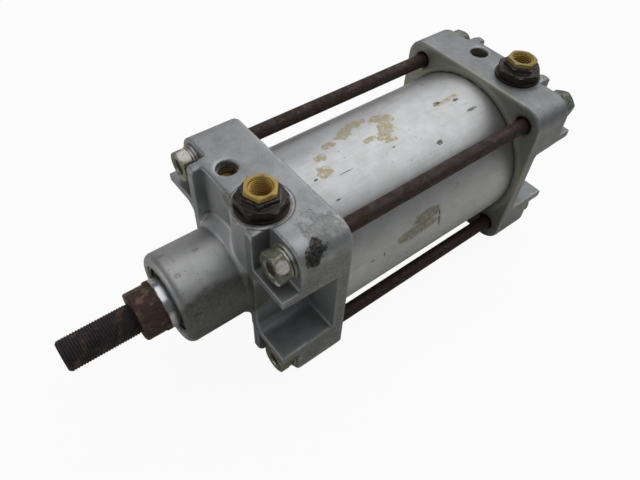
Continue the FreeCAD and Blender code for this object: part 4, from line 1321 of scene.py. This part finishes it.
@dataclass
class PortFitting:
    """Steel bushing and brass reducer of one air port."""

    label: str
    centre: tuple[float, float]
    bushing_turn: float
    reducer_turn: float
    seat: float = 57.1 * MM
    washer: float = 1.5 * MM
    collar: float = 0.1 * MM
    collar_out: float = 12.2 * MM
    hex_height: float = 7.3 * MM
    hex_across: float = 25.0 * MM
    thread: float = 10.2 * MM
    shank: float = 13.0 * MM
    socket: float = 8.2 * MM
    brass_across: float = 16.8 * MM
    brass_height: float = 2.7 * MM
    brass_shank: float = 15.0 * MM
    bore: float = 5.8 * MM
    bore_depth: float = 0.75 * MM
    bore_pitch: float = 1.34 * MM
    neck_across: float = 19.4 * MM
    neck_height: float = 2.3 * MM
    neck_rise: float = 1.2 * MM
    crown: float = 1.0 * MM

    def bushing(self) -> Grid:
        """Hexagon over a round collar and the shank, with a smaller hexagonal neck on its crown."""
        foot = self.seat + self.washer + self.collar
        drop = -self.collar
        low = self.seat - self.shank - foot
        skirt = ((0.0, self.collar_out), (drop + 0.15 * MM, self.collar_out),
                 (drop, self.collar_out - 0.2 * MM), (drop, self.thread), (low + 1 * MM, self.thread),
                 (low, self.thread - 1 * MM))
        base = self.hex_height - self.neck_height
        head = Hexagon(self.hex_across, base, self.socket, foot, corner=self.bushing_turn * DEG, both=False,
                       skirt=skirt, bottom=low, edge=0.25 * MM, crown=self.crown, slope=0.35)
        tall = self.neck_height + self.neck_rise
        neck = Hexagon(self.neck_across, tall, self.socket, foot + base, both=False, slope=0.4,
                       corner=self.reducer_turn * DEG, edge=0.15 * MM)
        grid = Grid().add(head.points(Axis.UP, self.centre), wrap_rows=True)
        return grid.add(neck.points(Axis.UP, self.centre), wrap_rows=True)

    def reducer(self) -> Grid:
        """Brass hexagon with a shank in the bushing and a female thread."""
        foot = self.seat + self.washer + self.collar + self.hex_height + self.neck_rise
        skirt = ((0.0, self.socket), (-self.brass_shank + 0.8 * MM, self.socket),
                 (-self.brass_shank, self.socket - 0.8 * MM))
        head = Hexagon(self.brass_across, self.brass_height, self.bore, foot, corner=self.reducer_turn * DEG,
                       pitch=self.bore_pitch, depth=self.bore_depth, lead=0.35 * MM, both=False,
                       skirt=skirt, slope=0.3, bottom=-self.brass_shank, edge=0.15 * MM)
        return Grid().add(head.points(Axis.UP, self.centre), wrap_rows=True)

    def build(self, steel: bpy.types.Material, brass: bpy.types.Material) -> None:
        """Both pieces."""
        for grid, name, material, slot, node in (
                (self.bushing(), "hex_bushing", steel, "bushing_steel", "port_bushing"),
                (self.reducer(), "brass_reducer", brass, "brass_fitting", "port_reducer")):
            dressed(grid.build(f"{self.label}_{name}"), material, ROOT, (f"{self.label}_{node}",))


@dataclass
class PortSeals:
    """Sealing washers under both bushings."""

    places: Places
    inner: float = 10.2 * MM
    outer: float = 14.4 * MM
    low: float = 57.1 * MM
    high: float = 58.6 * MM
    ease: float = 0.35 * MM

    def build(self, material: bpy.types.Material) -> bpy.types.Object:
        """Rings turned about both ports."""
        grid = Grid()
        profile = eased([(self.low, self.inner), (self.high, self.inner), (self.high, self.outer),
                         (self.low, self.outer)], self.ease)
        for centre in (self.places.front_port, self.places.rear_port):
            grid.add(turned(profile, Axis.UP, centre, 96), wrap_rows=True)
        return dressed(grid.build("port_seals"), material, ROOT, ("port_washers",))


@dataclass
class Inside:
    """Pieces that keep their frame shape and take a finish by their slot."""

    finishes: dict[str, bpy.types.Material]

    def build(self) -> None:
        """Put the finish of its slot on every frame piece that still shows."""
        for name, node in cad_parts.items():
            if node.hide_render:
                continue
            slot = next((s.name.split(".")[0] for s in node.data.materials if s), "")
            material = self.finishes.get(slot)
            if material is None:
                LOG.warning("%s keeps its plain colour: no finish for %s", name, slot)
                continue
            node.material_slots[0].material = material
            LOG.info("%s: finish of %s", name, slot)


# Stage and light

@dataclass
class Stage:
    """Pale floor under the part that shows white and keeps the shadow."""

    level: float = -57.6 * MM
    half: float = 6.0
    colour: Colour = (0.80, 0.80, 0.74)
    fleck: Colour = (0.5, 0.5, 0.5)
    lift: float = 0.94

    def material(self) -> bpy.types.Material:
        """Diffuse floor that the camera sees mixed with plain white; every other ray sees its own colour."""
        made = bpy.data.materials.new("pale_floor")
        made.use_nodes = True
        n = Nodes(made.node_tree)
        shader = made.node_tree.nodes["Principled BSDF"]
        grain = n.noise(n.position(), 60.0, 3.0)
        n.feed(shader.inputs["Base Color"], n.blend(n.product(grain, 0.06), self.colour, self.fleck))
        shader.inputs["Roughness"].default_value = 0.9
        white = n.add("ShaderNodeEmission", {"Color": (1.0, 1.0, 1.0), "Strength": 1.0})
        seen = n.add("ShaderNodeLightPath").outputs["Is Camera Ray"]
        mixed = n.add("ShaderNodeMixShader", {0: n.math("MULTIPLY", seen, self.lift), 1: shader.outputs[0],
                                              2: white.outputs[0]})
        made.node_tree.links.new(mixed.outputs[0], made.node_tree.nodes["Material Output"].inputs["Surface"])
        return made

    def build(self) -> bpy.types.Object:
        """One large square at the level that the part lies on."""
        mesh = bpy.data.meshes.new("floor")
        reach = self.half
        corners = [(-reach, -reach, self.level), (reach, -reach, self.level), (reach, reach, self.level),
                   (-reach, reach, self.level)]
        mesh.from_pydata(corners, [], [(0, 1, 2, 3)])
        floor = bpy.data.objects.new("floor", mesh)
        bpy.context.scene.collection.objects.link(floor)
        mesh.materials.append(self.material())
        return floor


@dataclass(frozen=True)
class Lamp:
    """A square or oblong soft lamp that faces a point."""

    name: str
    place: tuple[float, float, float]
    size: tuple[float, float]
    radiance: float
    aim: tuple[float, float, float] = (-0.07, 0.0, 0.0)

    def build(self) -> bpy.types.Object:
        """The lamp; its power is radiance times area times pi."""
        data = bpy.data.lights.new(self.name, "AREA")
        data.shape = "RECTANGLE"
        data.size, data.size_y = self.size
        data.energy = self.radiance * self.size[0] * self.size[1] * math.pi
        lamp = bpy.data.objects.new(self.name, data)
        lamp.location = self.place
        lamp.rotation_euler = (Vector(self.aim) - Vector(self.place)).to_track_quat("-Z", "Y").to_euler()
        bpy.context.scene.collection.objects.link(lamp)
        return lamp


@dataclass
class Studio:
    """Soft lamps and the dim surroundings."""

    surround: Colour = (0.125, 0.128, 0.135)
    lamps: tuple[Lamp, ...] = (
        Lamp("overhead", (-0.68, -0.10, 1.02), (1.9, 1.7), 1.12),
        Lamp("front_fill", (1.25, -0.45, 0.32), (1.0, 0.9), 1.05),
        Lamp("back_fill", (-0.75, -1.25, 0.32), (1.3, 0.7), 0.55),
    )

    def build(self) -> None:
        """World and lamps; the world shows white to the camera."""
        world = bpy.data.worlds.new("studio")
        bpy.context.scene.world = world
        world.use_nodes = True
        n = Nodes(world.node_tree)
        n.tree.nodes.clear()
        dim = n.add("ShaderNodeBackground", {"Color": self.surround, "Strength": 1.0})
        white = n.add("ShaderNodeBackground", {"Color": (1.0, 1.0, 1.0), "Strength": 1.0})
        seen = n.add("ShaderNodeLightPath").outputs["Is Camera Ray"]
        mixed = n.add("ShaderNodeMixShader", {0: seen, 1: dim.outputs[0], 2: white.outputs[0]})
        n.add("ShaderNodeOutputWorld", {"Surface": mixed.outputs[0]})
        for lamp in self.lamps:
            lamp.build()


@dataclass
class Viewpoint:
    """Camera at the photograph's viewing angle."""

    place: tuple[float, float, float] = (84.9 * MM, 182.3 * MM, 260.9 * MM)
    turn: tuple[float, float, float] = (40.155, -2.412, 142.009)
    lens: float = 31.55

    def build(self) -> bpy.types.Object:
        """The scene's camera."""
        data = bpy.data.cameras.new("viewpoint")
        data.lens = self.lens
        data.sensor_width = 36.0
        data.clip_start = 0.01
        camera = bpy.data.objects.new("viewpoint", data)
        camera.location = self.place
        camera.rotation_euler = Euler([a * DEG for a in self.turn], "XYZ")
        bpy.context.scene.collection.objects.link(camera)
        bpy.context.scene.camera = camera
        return camera


def front_casting(places: Places) -> CastAluminium:
    """Finish of the front cover: rust round the port, dirt on the top and on the boss, a darker brown tone
    over the near side, and painted shade low on the boss's near side.
    """
    port_x, port_y = (value / MM for value in places.front_port)
    top = places.half_side / MM
    specks = ((30.6, -18), (29.2, 17), (20.7, 45), (13.9, -1), (31.1, 52), (29.5, 66))
    return CastAluminium(
        "cast_front", 0.92, 0.52, boss=BOSS_OUT, port=places.front_port,
        rusty=(spot((port_x, port_y, top), (17.4, 17.4, 6.0), 0.5, 4.0),
               spot((port_x + 14.0, port_y + 1.0, top), (4.5, 9.0, 4.0), 1.4, 3.0)),
        # Painted shade low on the boss's near side.
        light_and_shade_spots=(spot((14.0, 26.0, 5.0), (40.0, 13.0, 20.0), 0.5, 9.0),),
        smears=(spot((-35.0, 46.0, top), (11.0, 11.0, 5.0), 3.0, 5.0),
                # A darker brown tone over the whole near side face.
                spot((-24.0, 60.0, 0.0), (50.0, 5.0, 64.0), 0.8, 7.0),
                spot((-9.0, 6.0, 54.0), (4.0, 12.0, 6.0), 1.6, 4.0),
                *(round_spot(BOSS_OUT, along, turn, (2.2, 1.3, 1.3), 3.0, 0.9) for along, turn in specks)),
        stains=(spot((-25.0, 53.0, 54.0), (5.0, 5.0, 6.0), 1.8, 4.0),
                spot((-22.5, 55.6, 51.4), (6.0, 5.0, 6.0), 1.8, 4.0)))


def rear_casting(places: Places) -> CastAluminium:
    """Finish of the rear cover: greys darker than the front cover's as painted shade, painted light with an
    olive tint on its inner face, rust round one tie rod hole and a stain at a corner.
    """
    face, hole = places.rear_face / MM, places.pitch / 2 / MM
    return CastAluminium(
        # Darker greys than the front cover: painted shade towards the rear.
        "cast_rear", 0.92, 0.52, base=grey(156, -2), dark=grey(140, 0), port=places.rear_port,
        # The inner face gets painted light with an olive tint.
        seat_mark=0.35, dull=shade(166, 165, 152),
        light_and_shade_spots=(spot((face, 0.0, 0.0), (5.0, 76.0, 76.0), 0.3, 9.0),),
        rusty=(spot((face, hole, hole), (2.5, 7.6, 7.6), 1.2, 3.0),),
        stains=(spot((-226.0, 54.0, 54.0), (4.0, 8.0, 8.0), 1.0, 4.0),))


def barrel_finish() -> DrawnTube:
    """Finish of the barrel: an arch of residue on top, a long film at the side, scuffs and scratches.

    Each mark is a place along X, an angle from the top, a reach, and for scuffs a fray and rim size.
    """
    residues = ((-115.5, 2.6, 6.0, 5.5), (-110.5, 8.0, 6.0, 4.0), (-117.0, -8.0, 6.5, 4.0),
                (-122.0, -3.8, 5.0, 5.0), (-104.0, -12.5, 8.0, 3.6), (-96.0, -11.0, 6.0, 3.6),
                (-90.5, -7.5, 6.0, 4.2), (-101.0, 6.0, 5.0, 2.0), (-112.0, 13.0, 4.5, 2.0),
                (-77.9, -4.0, 5.0, 3.0), (-67.2, 2.0, 4.5, 3.0), (-63.0, 12.0, 5.5, 4.0),
                (-165.0, 5.0, 12.0, 2.0))
    films = ((-105.5, 77.5, (19.0, 6.0, 4.6)), (-114.0, 70.5, (13.0, 6.0, 4.4)))
    scuffs = ((-124.0, 78.0, (0.9, 4.0, 8.0), 0.5, 3.0), (-158.0, 4.0, (3.0, 1.4, 2.0), 2.0, 1.5),
              (-171.0, 8.0, (3.0, 1.0, 2.0), 2.0, 1.5), (-176.0, 20.0, (5.0, 1.0, 2.0), 1.0, 2.0),
              (-140.0, 30.0, (2.4, 1.6, 2.0), 2.4, 1.2), (-94.4, -27.0, (1.0, 0.8, 1.0), 0.6, 1.0),
              (-55.9, 14.4, (1.5, 0.8, 1.0), 0.6, 1.0), (-110.3, 18.6, (1.2, 0.6, 1.0), 0.6, 1.0),
              (-168.7, -21.6, (1.2, 0.8, 1.0), 0.6, 1.0), (-60.1, 31.6, (2.0, 0.5, 0.8), 0.6, 1.0),
              (-74.5, 18.7, (6.0, 0.32, 1.0), 0.6, 2.0), (-69.3, 80.3, (2.2, 2.0, 0.6), 0.9, 1.5),
              (-78.5, 81.0, (0.6, 2.0, 2.2), 0.9, 1.5), (-92.3, 93.6, (1.6, 2.0, 0.5), 0.8, 1.0),
              (-98.7, 94.6, (1.2, 2.0, 0.6), 0.8, 1.0))
    return DrawnTube(
        "drawn_tube", 1.0, 0.45,
        residues=tuple(round_spot(BARREL_OUT, along, turn, (length, width, 6.0), 1.5, 4.0)
                       for along, turn, length, width in residues),
        films=tuple(round_spot(BARREL_OUT, along, turn, reach, 0.5, 5.0) for along, turn, reach in films),
        scuffs=tuple(round_spot(BARREL_OUT, *scuff) for scuff in scuffs))


class Palette:
    """Every material of the cylinder, made once from its finish."""

    def __init__(self, places: Places, effects: Effects) -> None:
        """Make the materials.

        Args:
            places: Shared sizes, for the marks that sit at them.
            effects: The shared shader groups.
        """
        self.front_cast = front_casting(places).make(effects)
        self.rear_cast = rear_casting(places).make(effects)
        self.barrel = barrel_finish().make(effects)
        self.tie_rod = RustedSteel("rusted_tie_rod", 0.55, 0.5, base=shade(60, 50, 49),
                                   fleck=shade(138, 120, 106)).make(effects)
        self.bushing = RustedSteel("browned_bushing", 0.6, 0.44, base=shade(58, 51, 48),
                                   fleck=shade(96, 88, 82), bright=grey(168, 4), spread=0.40, wear=0.9,
                                   stretch=(1.0, 1.0, 1.0)).make(effects)
        self.zinc = ZincPlate(
            "zinc_nut", 0.9, 0.38, base=shade(162, 166, 150), blotch=shade(116, 118, 98), bloom_and_highlight=grey(228, 7),
            # Spots of painted highlight on nut flats.
            rubbed=(spot((-7.0, 51.0, 50.6), (4.4, 3.6, 3.8), 0.5, 1.0),
                    spot((-7.0, -42.0, 53.2), (4.4, 4.4, 3.0), 0.5, 1.0),
                    spot((-3.6, 51.0, 39.4), (1.4, 2.6, 2.6), 0.5, 1.0))).make(effects)
        # A greyer, darker copy of the zinc for the rear nuts; the darkening is painted shade towards the
        # rear.
        self.dull_zinc = ZincPlate("shaded_zinc_nut", 0.85, 0.42, base=shade(128, 132, 124),
                                   blotch=shade(98, 102, 92), bloom_and_highlight=grey(160, 1)).make(effects)
        self.washer = ZincPlate(
            "zinc_washer", 0.9, 0.40, base=shade(186, 186, 176), blotch=shade(150, 148, 130),
            bloom_and_highlight=grey(206, 2),
            # Spots of painted highlight on the washers.
            rubbed=(spot((-12.0, 48.0, 53.8), (3.0, 3.6, 2.6), 0.6, 1.0),
                    spot((-12.0, -42.0, 53.8), (3.0, 3.6, 2.6), 0.6, 1.0))).make(effects)
        self.rod = RodSteel("rod_metal", 1.0, 0.24).make(effects)
        self.brass = Brass("brass_reducer", 0.30, 0.40, places.front_port).make(effects)
        self.dull_brass = Brass("dull_brass", 0.30, 0.40, places.rear_port, base=shade(168, 148, 88),
                                bright=shade(186, 168, 112)).make(effects)
        self.seal = Plain("seal_metal", 0.8, 0.42, base=shade(70, 62, 57),
                          second=shade(48, 42, 40)).make(effects)
        self.rubber = Plain("black_rubber", 0.0, 0.62, base=grey(38), second=grey(28)).make(effects)
        self.steel = Plain("plain_steel_finish", 0.95, 0.35, base=grey(150), second=grey(126)).make(effects)
        self.turned = Plain("turned_aluminium", 0.95, 0.38, base=grey(190), second=grey(172),
                            stretch=(8.0, 1.0, 1.0)).make(effects)
        self.bronze = Plain("bush_bronze", 0.95, 0.38, base=shade(168, 126, 80),
                            second=shade(140, 102, 66)).make(effects)
        self.guide = Plain("guide_plastic", 0.0, 0.5, base=shade(92, 60, 44),
                           second=shade(78, 50, 38)).make(effects)

    def by_slot(self) -> dict[str, bpy.types.Material]:
        """Finish of each slot, for the frame pieces that are kept."""
        return {"cover_casting": self.rear_cast, "barrel_metal": self.barrel, "piston_metal": self.turned,
                "plain_steel": self.steel, "bronze_bush": self.bronze, "seal_rubber": self.rubber,
                "wear_plastic": self.guide, "brass_fitting": self.brass, "washer_metal": self.washer,
                "zinc_hardware": self.zinc, "rod_chrome": self.rod, "tie_rod_steel": self.tie_rod,
                "bushing_steel": self.bushing}


def main() -> None:
    """Build every piece in order."""
    logging.basicConfig(level=logging.INFO, format="%(message)s")
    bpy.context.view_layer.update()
    bpy.context.scene.view_settings.view_transform = "Standard"
    places = Places()
    palette = Palette(places, Effects())
    CastCover("front_cover", boss=BOSS_OUT).build(palette.front_cast)
    CastCover("rear_cover").build(palette.rear_cast)
    Barrel().build(palette.barrel)
    TieRods(places).build(palette.tie_rod)
    front_end = TieEnd("front", places, places.front_seat, 1.0, flat_thick=1.6 * MM, spring_thick=1.8 * MM,
                       nut_height=6.8 * MM, turns=(47.0, 15.0, 38.0, 52.0))
    front_end.build(palette.zinc, palette.washer)
    rear_end = TieEnd("rear", places, places.rear_seat, -1.0, flat_thick=2.0 * MM, spring_thick=2.5 * MM,
                      nut_height=8.0 * MM)
    rear_end.build(palette.dull_zinc, palette.washer)
    PistonRod().build(palette.rod)
    GlandMouth().build(palette.rubber, palette.steel)
    PortFitting("front", places.front_port, 27, 52).build(palette.bushing, palette.brass)
    PortFitting("rear", places.rear_port, 40, 13).build(palette.bushing, palette.dull_brass)
    PortSeals(places).build(palette.seal)
    Inside(palette.by_slot()).build()
    Stage().build()
    Studio().build()
    Viewpoint().build()


if __name__ == "__main__":
    main()
